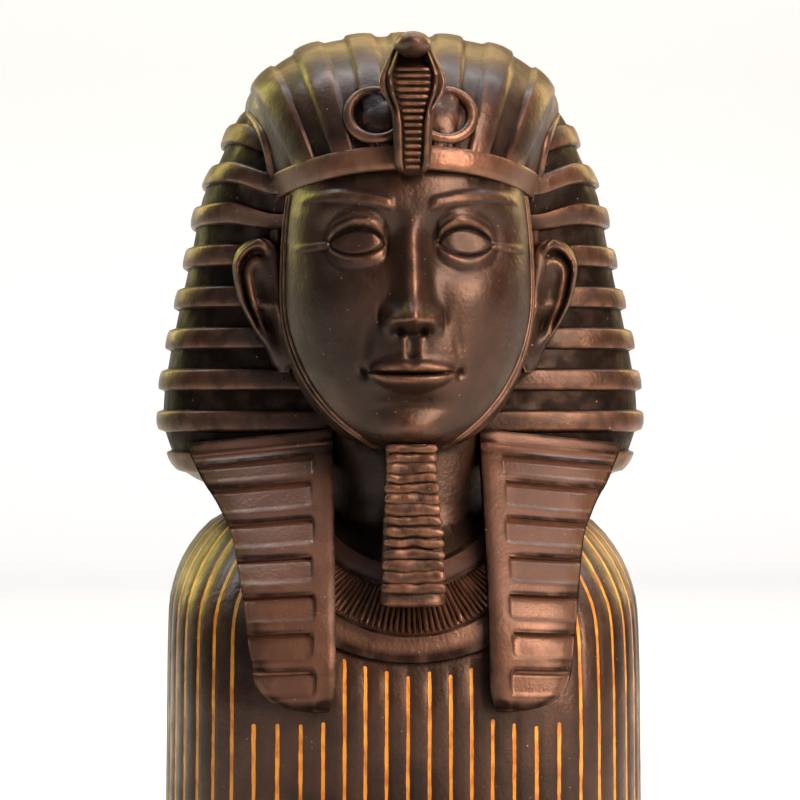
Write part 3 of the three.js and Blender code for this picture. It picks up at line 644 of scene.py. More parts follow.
# Neck and collar
neck = {
    "axis": -13,
    "half": 14.5,
    "before": 14.5,
    "behind": 12,
    "roundness": 2.2,
    "flare": 0.35,
    "rows": steps([58, 96, 2.5]),
    "columns": 72,
}


def neckSkin():
    z = neck["rows"][:, None]
    flare = 1 + neck["flare"] * ease(74, 62, z)
    angle = around(neck["columns"])[None]
    x, y = oval(angle, neck["roundness"], neck["half"] * flare, neck["before"] * flare, neck["behind"])
    return skin("neck", stack(x, neck["axis"] + y, z))


collar = {
    "middle": 76.3,
    "down": [9.6, 13.5, 20.3, 24.7],  # its four rims, straight down
    "aside": [13.0, 16.9, 20.7, 27.4],  # and to the side
    "lift": [0.9, 0.3, 0.9],
    "rim": 0.3,
    "spread": 78,  # degrees to each side
    "columns": 96,
    "ribs": 46,
    "ribTurn": 54,
    "ribWidth": 0.68,
    "ribHeight": 1.35,
    "ribOver": 1.1,
    "ribRoundness": 1,
    "ribUneven": 0.3,
    "ribWave": 0.3,
    "ribWaveSize": 1.6,
    "ribSeed": 5,
}


def collarRim(which, angle):  # radius of a rim, or of a line between two rims
    aside, down = (np.interp(which, range(4), collar[side]) for side in ("aside", "down"))
    return 1 / np.hypot(np.sin(angle) / aside, np.cos(angle) / down)


def collarPoint(radius, angle, lift):
    x, z = radius * np.sin(angle), collar["middle"] - radius * np.cos(angle)
    return stack(x, chestFront(x, z) - lift, z)


def collarSkin():
    angle = np.radians(np.linspace(-collar["spread"], collar["spread"], collar["columns"]))[:, None]
    a, b, c = collar["lift"]
    rim = collar["rim"]
    # which rim, how far past it, how proud of the chest
    profile = [[0, 0, -4], [0, 0, a], [0, 0.12, a + rim], [0, 0.5, a + rim], [0, 0.65, a],
               [0.4, 0, a], [0.6, 0, a], [0.8, 0, a], [1, -0.35, a], [1, -0.1, a - 0.2], [1, 0.05, b],
               [1.33, 0, b], [1.66, 0, b], [2, -0.1, b], [2, 0.05, c - 0.2], [2, 0.2, c + 0.12],
               [2, 0.45, c + 0.12], [2, 0.6, c], [2.35, 0, c], [2.7, 0, c], [3, -0.25, c - 0.02],
               [3, 0, c - 0.3], [3, 0, -4]]
    which, past, lift = np.array(profile).T[:, None]
    return skin("collar", collarPoint(collarRim(which, angle) + past, angle, lift))


# Head. A plain face on the usual canon: eyes at half height, nose and mouth by thirds.
head = {
    "crown": 148,
    "chin": 83.5,
    "half": 20.3,
    "widest": 108,
    "ear": -21,
    "jawBack": 9,
    "brow": -22,
    "reach": 21,
    "roundness": 2.25,
    "behind": 10,
    "rows": steps([83.56, 84.2, 0.16], [84.2, 90, 0.5], [90, 99.4, 0.29], [99.4, 105, 0.33],
                  [105, 112, 0.6], [112, 118.6, 0.2], [118.6, 124.4, 0.35], [124.4, 129.4, 1]),
    "columns": [*np.arange(0, 36, 0.68), *np.arange(36, 62, 1.3), 64, 67, 71, 76, 84, 100, 125],
}
headHeight = head["crown"] - head["chin"]
face = {
    "eyeLine": head["chin"] + headHeight / 2,
    "browLine": head["chin"] + headHeight * 0.578,
    "eyeWidth": head["half"] * 0.43,
    "eyeMiddle": head["half"] * 0.415,
    "mouthHalf": head["half"] * 0.34,
}
face["noseBase"] = mix(head["chin"], face["browLine"], 0.5)
face["mouth"] = mix(head["chin"], face["noseBase"], 0.66)
face["lipCrease"] = mix(head["chin"], face["noseBase"], 0.38)


def eyeRelief(side, z):
    across = (side - face["eyeMiddle"]) / (face["eyeWidth"] / 2)
    opening = np.clip(1 - across ** 2, 0, 1)
    upper = face["eyeLine"] + 2.35 * opening ** 0.72 * (1 - 0.14 * across)
    lower = face["eyeLine"] - 1.75 * opening ** 0.8 * (1 + 0.12 * across)
    reach = ease(1.12, 0.98, np.abs(across))
    middle, tall = (upper + lower) / 2, np.maximum(upper - lower, 0.3) / 2
    ball = 1.85 * opening ** 0.6 * np.clip(1 - 0.42 * ((z - middle) / tall) ** 2, 0, 1)
    inside = ease(lower - 0.6, lower + 0.5, z) * ease(upper + 0.6, upper - 0.6, z)
    inside = inside * ease(1.04, 0.84, np.abs(across))
    lidUp = ease(upper - 0.5, upper + 0.5, z) * ease(upper + 3.4, upper + 1.0, z)
    lidDown = ease(lower + 0.45, lower - 0.5, z) * ease(lower - 2.9, lower - 0.6, z)
    crease = hill(z - upper - 1.75, 0.32) * ease(1.05, 0.75, np.abs(across))
    lids = (1.95 * lidUp + 1.7 * lidDown) * reach * (0.25 + 0.75 * opening ** 0.5) - 0.42 * crease
    return ball * inside + lids * (1 - inside)


def noseRelief(side, z):
    base = face["noseBase"]
    root = face["eyeLine"] + 2.6
    down = np.clip((root - z) / (root - base - 1.9), 0, 1)
    ridge = (0.7 + 5.1 * down ** 1.12) * ease(base - 0.5, base + 1.7, z)
    ridge = ridge * ease(face["eyeLine"] + 7, face["eyeLine"], z)
    wide = mix(1.75, 2.5, down)
    out = ridge * np.exp(-np.abs(side / wide) ** 2.3)
    out = out + 1.15 * hill(side, 2.1) * hill(z - base - 2.4, 1.8)
    out = out + 2.6 * hill(side - 3.05, 1.25) * hill(z - base - 1.9, 1.75)
    out = out - 0.55 * hill(side - 4.9, 0.6) * hill(z - base - 2.2, 1.7)
    return out - 1.5 * hill(side - 1.75, 0.8) * hill(z - base - 0.25, 0.62)


def mouthRelief(side, z):
    half = face["mouthHalf"]
    line = face["mouth"] + 0.3 * (side / half) ** 2
    opening = np.clip(1 - (side / half) ** 2, 0, 1)
    top = line + 2.55 * opening ** 0.75 - 0.5 * hill(side, 1.0) * opening + 0.02
    low = line - 3.0 * opening ** 0.8 - 0.02
    v = np.clip((z - line) / (top - line), 0, 1)
    w = np.clip((line - z) / (line - low), 0, 1)
    upperLip = 1.35 * np.sin(math.pi * v ** 0.62) ** 0.75 * opening ** 0.35
    lowerLip = 1.55 * np.sin(math.pi * w ** 0.72) ** 0.75 * opening ** 0.4
    out = 1.5 * hill(side, 8.5) * hill(z - face["mouth"], 6.5) + upperLip + lowerLip
    out = out - 0.45 * hill(z - line, 0.28) * ease(half + 0.4, half - 0.8, side)
    out = out - 0.75 * hill(side - half - 0.5, 0.85) * hill(z - line, 1.0)
    out = out + 0.28 * hill(z - top - 0.15, 0.3) * opening ** 0.3 * (side < half)
    philtrum = ease(top - 0.2, top + 0.6, z) * ease(face["noseBase"], face["noseBase"] - 1, z)
    return out + philtrum * (0.25 * hill(side - 1.35, 0.5) - 0.35 * hill(side, 0.8))


def features(x, z):
    side = np.abs(x)
    up = z - face["eyeLine"]
    out = -3.6 * hill(side - face["eyeMiddle"], 5.4) * hill(up - 0.4, 4.2)
    out = out - 0.9 * hill(side - 3.9, 1.7) * hill(up - 0.3, 2.8)
    out = out + eyeRelief(side, z) + noseRelief(side, z) + mouthRelief(side, z)
    out = out + 1.0 * hill(side - 9, 8.5) * hill(z - face["browLine"] - 0.4, 2.4)
    browTurn = np.clip((side - 2.2) / 15.5, 0, 1) * math.pi * 0.78
    browHeight = face["browLine"] + 0.7 + 1.7 * np.sin(browTurn)
    browWide = mix(0.85, 0.55, ease(8, 17, side))
    browReach = ease(2.4, 3.8, side) * ease(17.8, 16.0, side)
    out = out + 0.6 * plateau(z - browHeight, browWide, 0.75) * browReach
    lineHeight = face["eyeLine"] - 0.15 - 0.35 * ease(12, 17, side)
    out = out + 0.45 * plateau(z - lineHeight, 0.5, 0.6) * ease(12.2, 13.2, side) * ease(18.2, 16.8, side)
    out = out - 0.95 * hill(side, 5.2) * hill(z - face["lipCrease"] - 0.5, 1.5)
    out = out + 3.1 * hill(side, 6.6) * hill(z - face["lipCrease"] + 4.3, 3.4)
    out = out + 0.95 * hill(side - 12.2, 5.5) * hill(z - face["noseBase"] - 5.5, 6.2)
    fold = hill(side - 6.6 - 0.16 * (face["noseBase"] + 1 - z), 0.9)  # from the nose to the mouth's corner
    return out - 0.3 * fold * hill(z - face["noseBase"] + 1.4, 3)


def headPoint(turn, z):
    low = z < head["widest"]
    widest = head["widest"]
    share = (z - widest) / np.where(low, widest - head["chin"], head["crown"] - widest)
    share = np.clip(share, -1, 1)
    c = np.maximum(np.sqrt(1 - share ** 2), 1e-3)
    half = head["half"] * np.where(low, c ** 0.85, c ** 0.7)
    rear = head["ear"] - np.where(low, head["jawBack"] * share ** 2, 0)
    front = head["brow"] - head["reach"] * np.where(low, c ** 0.32, c)
    across, along = (power(side, 2 / head["roundness"]) for side in (np.sin(turn), np.cos(turn)))
    x = half * across
    y = np.where(along > 0, rear - (rear - front) * along, rear - head["behind"] * along)
    relief = features(x, z) * np.maximum(along, 0) ** 0.8 * ease(-0.998, -0.93, share)
    return stack(x, y - relief, z)


def headSkin():
    near = np.array(head["columns"])
    turn = np.radians(np.concatenate([near, -near[:0:-1]]))[None]
    z = head["rows"][:, None]
    return skin("head", headPoint(turn, z))


chinStrap = {
    "top": 124,
    "bottom": 84.6,
    "turn": through([[84.6, 47], [88, 55], [93, 64], [99, 71], [106, 76], [124, 78]]),
    "apart": 5.5,
    "radius": 0.45,
    "sink": 0.1,
    "outFrom": 100,  # height of the point that the strap is pressed towards
}


def strapPath(level):  # down the side of the face and along the jaw, to the beard
    z = np.linspace(chinStrap["top"], chinStrap["bottom"], 30)
    points = headPoint(np.radians(chinStrap["turn"](z) - level * chinStrap["apart"]), z)
    outward = points - (0, head["ear"], chinStrap["outFrom"])
    outward /= np.linalg.norm(outward, axis=1, keepdims=True)
    return points - outward * chinStrap["sink"]


# Beard
beard = {
    "top": 85,
    "bottom": 60.6,
    "half": through([[60.6, 4.85], [85, 3.85]]),
    "front": through([[60.6, -48.2], [72, -46.4], [80, -43.4], [85, -40.6]]),
    "back": through([[60.6, -33], [70, -27], [85, -24]]),
    "ribs": 14,
    "ribTop": 84.2,
    "ribBottom": 63.4,
    "ribWidth": 1.72,
    "ribHeight": 1.1,
    "ribSpan": 1.07,  # of the beard's width
    "ribRoundness": 2,
    "ribUneven": 0.2,
    "ribWave": 1.0,
    "ribWaveSize": 2.6,
    "ribSeed": 8,
    "footBand": 2.0,
    "footProud": 0.35,
    "rows": [60.6, 60.72, 61.0, *np.arange(61.6, 84.5, 1.0), 85],
}


def beardSkin():
    z = np.array(beard["rows"])[:, None]
    inset = np.where(z < beard["bottom"] + 0.1, 0.8, np.where(z < beard["bottom"] + 0.3, 0.3, 0))
    foot = beard["footProud"] * (z < beard["bottom"] + beard["footBand"])
    half, front, back = beard["half"](z) - inset, beard["front"](z) + inset * 0.8 - foot, beard["back"](z)
    share = np.array([0, 0.3, 0.6, 0.8, 0.92, 0.98, 1, 1, 1, 0.6])[None]
    deep = np.array([0, 0.05, 0.2, 0.5, 0.95, 1.5, 2.2, 4, 6.5, 0])[None]
    y = np.where(np.arange(10)[None] == 9, back, front + 0.45 + deep)
    right = stack(half * share, y, z)
    return skin("beard", np.concatenate([right, (right * (-1, 1, 1))[:, :0:-1]], 1))


# Ears
ear = {
    "bottom": 96.2,
    "top": 117.4,
    "middle": through([[96.2, 19.4], [99.3, 20], [102.9, 21.4], [108.9, 23.2], [113.8, 23.8],
                       [117.4, 23.6]]),
    "half": through([[96.2, 0.9], [97.5, 1.7], [99.3, 2.0], [102.9, 2.8], [108.9, 3.8], [113.6, 3.9],
                     [115.4, 3.5], [116.6, 2.7], [117.2, 1.8], [117.4, 1.0]]),
    "front": -23.4,
    "depth": 8,
}


def earRelief(share, up):  # share runs from the face outwards, up from the lobe to the top
    rounding = np.hypot(share, np.maximum(up - 0.72, 0) / 0.28)
    outer = ease(-0.3, 0.25, share + np.maximum(up - 0.8, 0) * 4)
    helix = 0.95 * plateau(rounding - 0.88, 0.13, 0.16) * outer * ease(0.2, 0.4, up)
    groove = 0.8 * hill(rounding - 0.62, 0.11) * outer * ease(0.28, 0.42, up) * ease(0.97, 0.88, up)
    fold = 0.55 * hill(rounding - 0.4, 0.13) * outer * ease(0.36, 0.48, up) * ease(0.9, 0.8, up)
    bowl = 1.9 * hill(share, 0.42) * hill(up - 0.36, 0.11)
    upper = 0.9 * hill(share + 0.15, 0.38) * hill(up - 0.62, 0.14)
    flap = 0.7 * hill(share + 0.62, 0.16) * hill(up - 0.45, 0.09)
    step = 0.5 * ease(0.47, 0.5, up) * ease(0.56, 0.5, up) * hill(share - 0.05, 0.5)
    return helix - groove + fold - bowl - upper + flap + step + 0.5 * hill(up - 0.12, 0.1)


def earRings():
    z = steps([ear["bottom"], 97.4, 0.25], [97.4, 115.6, 0.4], [115.6, ear["top"], 0.2])[:, None]
    middle, half = ear["middle"](z), ear["half"](z)
    share = np.sin(np.linspace(-1, 1, 37) * math.pi / 2)[None]
    edge = 2.4 * (1 - np.sqrt(np.clip(1 - (np.abs(share) * 0.995) ** 6, 0, 1)))
    up = (z - ear["bottom"]) / (ear["top"] - ear["bottom"])
    front = ear["front"] + 0.1 * (z - 106) + 1.8 * share - earRelief(share, up) + edge
    body = stack(middle + half * share, front, z)
    rim = [[1, 0.5], [0.6, 1], [-0.8, 1]]
    back = [stack(middle + half * a, ear["front"] + ear["depth"] * d, z) for a, d in rim]
    return np.concatenate([body, *back], 1)


# Cobra on the brow
cobra = {
    "bottom": 126.1,
    "top": 146.4,
    "half": through([[126.1, 1.0], [126.5, 1.95], [127.2, 2.6], [128.4, 2.85], [131.5, 2.95],
                     [135.1, 3.2], [137, 3.9], [138.6, 4.8], [140, 5.1], [141.3, 4.85], [142.5, 4.35],
                     [143.7, 3.8], [145.2, 3.05], [146.4, 2.2]]),
    "front": through([[126.1, -42.4], [126.5, -43.4], [127.5, -44.3], [130, -45], [136, -45.5],
                      [140, -45.4], [142.5, -44.6], [145.2, -43.8], [146.4, -43.4]]),
    "bandHalf": through([[126, 1.3], [128.5, 1.5], [133.4, 1.65], [136, 2.1], [138.5, 2.8],
                         [141, 3.1], [143, 2.5], [146.4, 1.6]]),
    "headMiddle": (0, -43.6, 145.75),
    "headReach": (2.85, 4.6, 2.0),
    "loopMiddle": (5.3, 135.6),
    "loopReach": (4.3, 3.9),
    "loopRadius": 0.88,
    "moundReach": (3.1, 1.2, 2.9),
    "ribs": 15,
    "ribWidth": 0.78,
    "ribHeight": 0.85,
    "ribSpan": 0.96,  # of the band's width
    "ribRoundness": 1,
    "ribUneven": 0.1,
    "ribWave": 0,
    "ribWaveSize": 2,
    "ribSeed": 12,
    "ladderTop": 142.2,
    "throatDepth": 1.5,
    "hoodFrom": 134.5,
    "hoodTo": 137,
}


def cobraSkin():
    z = steps([cobra["bottom"], 127.7, 0.2], [127.7, cobra["top"], 0.4])[:, None]
    half, front = cobra["half"](z), cobra["front"](z)
    band = cobra["bandHalf"](z) / half
    share = np.concatenate([np.linspace(0, 0.9, 22), [0.95, 0.985, 1.0, 1.0]])[None]
    onHood = ease(cobra["hoodFrom"], cobra["hoodTo"], z)
    ridge = 0.5 * hill((share - band - 0.08) * half, 0.3) * onHood
    across = (share - (band + 1) / 2) / ((1 - band) / 2)
    cord = 0.6 * np.sqrt(np.clip(1 - across ** 2, 0, 1)) * (1 - onHood)
    hollow = 0.4 * ease(0.08, 0.2, share - band) * ease(0.95, 0.8, share) * onHood
    throat = cobra["throatDepth"] * ease(cobra["ladderTop"], cobra["ladderTop"] + 1, z)
    throat = throat * ease(band + 0.12, band - 0.12, share)
    edge = 1.3 * (1 - np.sqrt(1 - (share * 0.995) ** 5))
    y = front + 0.55 * ease(band + 0.03, band - 0.03, share) + throat - ridge - cord + hollow + edge
    right = stack(half * share, y, z)
    back = [stack(half * a, front + d, z) for a, d in [[0.98, 2.4], [0.75, 3.4]]]
    right = np.concatenate([right, *back, stack(half * 0.5, -30, z)], 1)
    return skin("cobra", np.concatenate([right, (right * (-1, 1, 1))[:, :0:-1]], 1))


def egg(name, middle, reach, rows=22, columns=40):
    level = np.radians(np.linspace(-84, 84, rows))[:, None]
    angle = around(columns)[None]
    x = middle[0] + reach[0] * np.cos(level) * np.sin(angle)
    y = middle[1] + reach[1] * power(np.sin(level), 0.9)
    z = middle[2] + reach[2] * np.cos(level) * np.cos(angle)
    return skin(name, stack(x, y, z))


def mound(name, middle, reach, rows=12, columns=28):  # a low swelling on the crown
    level = np.radians(np.linspace(-70, 86, rows))[:, None]
    angle = around(columns)[None]
    x = middle[0] + reach[0] * np.cos(level) * np.sin(angle)
    z = middle[1] + reach[2] * np.cos(level) * np.cos(angle)
    return skin(name, stack(x, crownFront(x, z) - reach[1] * np.sin(level), z))


def cobraLoops():
    angle = np.radians(np.linspace(146, -168, 22))
    x = cobra["loopMiddle"][0] + cobra["loopReach"][0] * np.cos(angle)
    z = cobra["loopMiddle"][1] + cobra["loopReach"][1] * np.sin(angle)
    path = np.column_stack([x, crownFront(x, z) - 0.4, z])
    thick = through([[0, 0.85], [0.3, 1.05], [0.8, 1.0], [1, 0.8]])
    made = []
    for sign in (1, -1):
        made.append(tube("loop", path * (sign, 1, 1), lambda t: cobra["loopRadius"] * thick(t), 12, 54))
        middle = (sign * (cobra["loopMiddle"][0] - 0.8), cobra["loopMiddle"][1] - 0.2)
        made.append(mound("mound", middle, cobra["moundReach"]))
    return made


print("shapes described")

# Node trees
def groupSocket(tree, name, kind, value=None, into=True):
    way = "INPUT" if into else "OUTPUT"
    socket = tree.interface.new_socket(name, in_out=way, socket_type="NodeSocket" + kind)
    if value is not None:
        socket.default_value = value


def wiring(tree):  # ways to add nodes, with their inputs given as values or as other nodes' sockets
    def add(kind, inputs=None, **settings):
        made = tree.nodes.new(kind)
        for key, value in settings.items():
            setattr(made, key, value)
        for key, value in (inputs or {}).items():
            if isinstance(value, bpy.types.NodeSocket):
                tree.links.new(value, made.inputs[key])
            else:
                made.inputs[key].default_value = value
        return made

    def sums(operation, *values, clamp=False):
        made = add("ShaderNodeMath", dict(enumerate(values)), operation=operation, use_clamp=clamp)
        return made.outputs[0]

    def ramp(value, low, high, a=0.0, b=1.0):
        inputs = {"From Min": low, "From Max": high, "To Min": a, "To Max": b, "Value": value}
        return add("ShaderNodeMapRange", inputs, interpolation_type="SMOOTHSTEP").outputs["Result"]

    def blend(mask, a, b):
        return add("ShaderNodeMix", {0: mask, 6: a, 7: b}, data_type="RGBA").outputs[2]

    return add, sums, ramp, blend


def effect(name, inputs, build):  # a shader node group with one number going out
    tree = bpy.data.node_groups.new(name, "ShaderNodeTree")
    groupSocket(tree, "Vector", "Vector")
    for label, value in inputs.items():
        groupSocket(tree, label, "Float", value)
    groupSocket(tree, "Mask", "Float", into=False)
    given, result = tree.nodes.new("NodeGroupInput"), tree.nodes.new("NodeGroupOutput")
    tree.links.new(build(given.outputs, *wiring(tree)[:3]), result.inputs[0])
    return tree


def noiseOf(given, add, scale, detail):
    inputs = {"Vector": given["Vector"], "Scale": scale, "Detail": detail}
    return add("ShaderNodeTexNoise", inputs).outputs[0]


def cloudBuild(given, add, sums, ramp):
    return ramp(noiseOf(given, add, sums("DIVIDE", 1.0, given["Size"]), 4.0), given["Low"], given["High"])


def grainBuild(given, add, sums, ramp):
    fine = noiseOf(given, add, sums("DIVIDE", 1.0, given["Size"]), 4.0)
    wavy = noiseOf(given, add, sums("DIVIDE", 1.0, given["Wave Size"]), 2.0)
    return sums("ADD", sums("MULTIPLY", fine, given["Grain"]), sums("MULTIPLY", wavy, given["Waves"]))


def speckBuild(given, add, sums, ramp):
    scale = sums("DIVIDE", 1.0, given["Size"])
    cells = add("ShaderNodeTexVoronoi", {"Vector": given["Vector"], "Scale": scale})
    apart = add("ShaderNodeSeparateColor", {"Color": cells.outputs["Color"]})
    chosen = sums("LESS_THAN", apart.outputs[0], given["Share"])
    wide = sums("MULTIPLY", apart.outputs[1], given["Width"])
    return sums("MULTIPLY", chosen, ramp(cells.outputs["Distance"], wide, sums("MULTIPLY", wide, 0.6)))


def rubAndHighlightBuild(given, add, sums, ramp):
    # edges that stand out turn lighter copper: partly the real rub, partly a painted highlight
    edge = ramp(given["Bend"], 0.012, 0.12)
    broken = ramp(noiseOf(given, add, 420.0, 5.0), 0.36, 0.62, 0.25)
    return sums("MULTIPLY", sums("MULTIPLY", edge, broken), given["Amount"], clamp=True)


def recessBuild(given, add, sums, ramp):
    # hollows and creases darkened toward black: painted shade where light doesn't reach
    sunk = ramp(sums("MULTIPLY", given["Bend"], -1.0), 0.012, 0.09)
    broken = ramp(noiseOf(given, add, 300.0, 3.0), 0.3, 0.6, 0.6)
    return sums("MULTIPLY", sums("MULTIPLY", sunk, broken), given["Amount"], clamp=True)


def lineBuild(given, add, sums, ramp):
    wander = noiseOf(given, add, 150.0, 2.0)
    wobble = sums("MULTIPLY", sums("SUBTRACT", wander, 0.5), given["Wobble"])
    coordinate = sums("ADD", given["Line"], wobble)
    away = sums("ABSOLUTE", sums("SUBTRACT", coordinate, sums("ROUND", coordinate)))
    swell = ramp(noiseOf(given, add, 420.0, 3.0), 0.3, 0.7, 0.86, 1.12)
    width = sums("MULTIPLY", given["Half Width"], swell)
    row = sums("FLOOR", sums("ADD", coordinate, 0.5))
    uneven = add("ShaderNodeTexWhiteNoise", {"W": row}, noise_dimensions="1D")
    room = sums("SUBTRACT", given["Room"], sums("MULTIPLY", uneven.outputs[0], given["Uneven Tops"]))
    short = sums("MAXIMUM", sums("SUBTRACT", width, sums("MULTIPLY", room, 0.29)), 0.0)
    radius = sums("SQRT", sums("ADD", sums("MULTIPLY", away, away), sums("MULTIPLY", short, short)))
    return ramp(radius, sums("MULTIPLY", width, 1.08), sums("MULTIPLY", width, 0.86))


# Finish: near-black cast resin with a warm brown polish, and gold paint in the grooves, with painted light:
# a copper sheen, edge highlights and shade in the hollows
resin = {
    "deep": (0.017, 0.01, 0.008, 1),
    "brown": (0.042, 0.0235, 0.0172, 1),
    # lighter copper on standing edges: partly rubbed finish, partly a painted highlight
    "rubAndHighlightColour": (0.2, 0.115, 0.078, 1),
    # a painted copper sheen, where the lappets, brow band and collar would catch the light
    "paintedSheenColour": (0.118, 0.067, 0.049, 1),
    # painted shade for hollows and creases
    "paintedShadeColour": (0.003, 0.002, 0.0016, 1),
    "dust": (0.5, 0.36, 0.25, 1),
    "gold": (0.66, 0.32, 0.045, 1),
    "goldDark": (0.42, 0.16, 0.022, 1),
    "coatTint": (1.0, 0.86, 0.7, 1),
    "clouds": {"Size": 0.011, "Low": 0.36, "High": 0.66},
    "smear": {"Size": 0.0035, "Low": 0.3, "High": 0.7},
    "paintTone": {"Size": 0.0028, "Low": 0.34, "High": 0.6},
    "coarseDust": {"Size": 0.0022, "Share": 0.3, "Width": 0.1},
    "fineDust": {"Size": 0.0009, "Share": 0.2, "Width": 0.2},
    "pits": {"Size": 0.0028, "Share": 0.3, "Width": 0.1},
    "grain": {"Size": 0.0006, "Wave Size": 1 / 260, "Grain": 0.4, "Waves": 0.9},
    "lines": {"Half Width": 0.086, "Wobble": 0.06, "Uneven Tops": 1.3},
    # strengths of the rubbed edges with their painted highlight, and of the painted shade in hollows
    "rubAndHighlight": 0.75,
    "paintedShadeStrength": 0.9,
    "plain": 0.4,  # both of these on the plinth: the rubbed edges with their painted highlight and the painted shade
    "roughDeep": 0.46,
    "roughBrown": 0.37,
    "roughPaint": 0.44,
    "specular": 0.5,
    "metal": 0.45,
    "rubAndHighlightMetal": 0.3,
    "coat": 0.14,
    "coatRoughness": 0.22,
    "bumpStrength": 0.6,
    "bumpDistance": 0.0003,
}
clouds = effect("resinClouds", {"Size": 0.01, "Low": 0.4, "High": 0.6}, cloudBuild)
grain = effect("resinGrain", resin["grain"], grainBuild)
specks = effect("resinSpecks", {"Size": 0.002, "Share": 0.1, "Width": 0.15}, speckBuild)
rubAndHighlight = effect("rubbedEdgesAndHighlights", {"Bend": 0.0, "Amount": 1.0}, rubAndHighlightBuild)
recesses = effect("paintedShadeInRecesses", {"Bend": 0.0, "Amount": 1.0}, recessBuild)
goldLines = effect("goldLines", {"Line": 0.0, "Room": -1.0, **resin["lines"]}, lineBuild)


def resinMaterial(name, painted):
    material = bpy.data.materials.new(name)
    material.use_nodes = True
    tree = material.node_tree
    tree.nodes.clear()
    add, sums, ramp, blend = wiring(tree)
    place = add("ShaderNodeTexCoord").outputs["Object"]

    def grouped(group, inputs):
        return add("ShaderNodeGroup", {"Vector": place, **inputs}, node_tree=group).outputs[0]

    def marked(name):
        return add("ShaderNodeAttribute", attribute_name=name).outputs["Fac"]

    cloud = grouped(clouds, resin["clouds"])
    coarse, fine = grouped(specks, resin["coarseDust"]), grouped(specks, resin["fineDust"])
    dust = sums("MAXIMUM", coarse, sums("MULTIPLY", fine, 0.5))
    colour = blend(cloud, resin["deep"], resin["brown"])
    # painted sheen: lappets, brow band and collar lightened to copper as if catching the key light
    paintedSheen = sums("MULTIPLY", marked("paintedSheen"), ramp(cloud, 0.0, 1.0, 0.72, 1.0))
    colour = blend(paintedSheen, colour, resin["paintedSheenColour"])
    bend = marked("edgeBend")
    # painted shade in hollows and creases, kept off the gold paint
    sunk = grouped(recesses, {"Bend": bend, "Amount": resin["paintedShadeStrength"] if painted else resin["plain"]})
    if painted:
        line = {"Line": marked("goldLine"), "Room": marked("goldRoom")}
        gold = grouped(goldLines, {**line, **resin["lines"]})
        sunk = sums("MULTIPLY", sunk, sums("SUBTRACT", 1.0, gold))
    colour = blend(sunk, colour, resin["paintedShadeColour"])
    # rubbed edges: lighter copper that is partly real rub and partly a painted highlight
    rubAndHighlightMask = grouped(rubAndHighlight, {"Bend": bend, "Amount": resin["rubAndHighlight"] if painted else resin["plain"]})
    colour = blend(rubAndHighlightMask, colour, resin["rubAndHighlightColour"])
    colour = blend(sums("MULTIPLY", dust, 0.6), colour, resin["dust"])
    smear = ramp(grouped(clouds, resin["smear"]), 0.0, 1.0, -0.05, 0.06)
    rough = sums("ADD", ramp(cloud, 0.0, 1.0, resin["roughDeep"], resin["roughBrown"]), smear)
    for mask, more in ((dust, 0.3), (sunk, 0.25)):
        rough = sums("ADD", rough, sums("MULTIPLY", mask, more))
    # less specular and coat under the painted shade
    free = sums("SUBTRACT", 1.0, sums("MULTIPLY", sunk, 0.85))
    metal = sums("ADD", sums("MULTIPLY", rubAndHighlightMask, resin["rubAndHighlightMetal"]), resin["metal"])
    pits = sums("MULTIPLY", grouped(specks, resin["pits"]), 0.9)
    height = sums("SUBTRACT", grouped(grain, resin["grain"]), pits)
    if painted:
        tone = grouped(clouds, resin["paintTone"])
        colour = blend(gold, colour, blend(tone, resin["goldDark"], resin["gold"]))
        rough = sums("MAXIMUM", rough, sums("MULTIPLY", gold, resin["roughPaint"]))
        metal = sums("MULTIPLY", metal, sums("SUBTRACT", 1.0, sums("MULTIPLY", gold, 0.5)))
        height = sums("ADD", height, sums("MULTIPLY", gold, 0.5))
    bump = add("ShaderNodeBump", {
        "Height": height, "Strength": resin["bumpStrength"], "Distance": resin["bumpDistance"]})
    shader = add("ShaderNodeBsdfPrincipled", {
        "Base Color": colour, "Roughness": rough, "Metallic": metal, "Normal": bump.outputs[0],
        "Specular IOR Level": sums("MULTIPLY", free, resin["specular"]),
        "Coat Weight": sums("MULTIPLY", free, resin["coat"]),
        "Coat Roughness": resin["coatRoughness"], "Coat Tint": resin["coatTint"]})
    add("ShaderNodeOutputMaterial", {"Surface": shader.outputs[0]})
    return material


figureFinish = resinMaterial("castResinGoldLined", True)
plinthFinish = resinMaterial("castResinPlain", False)
print("finishes made")


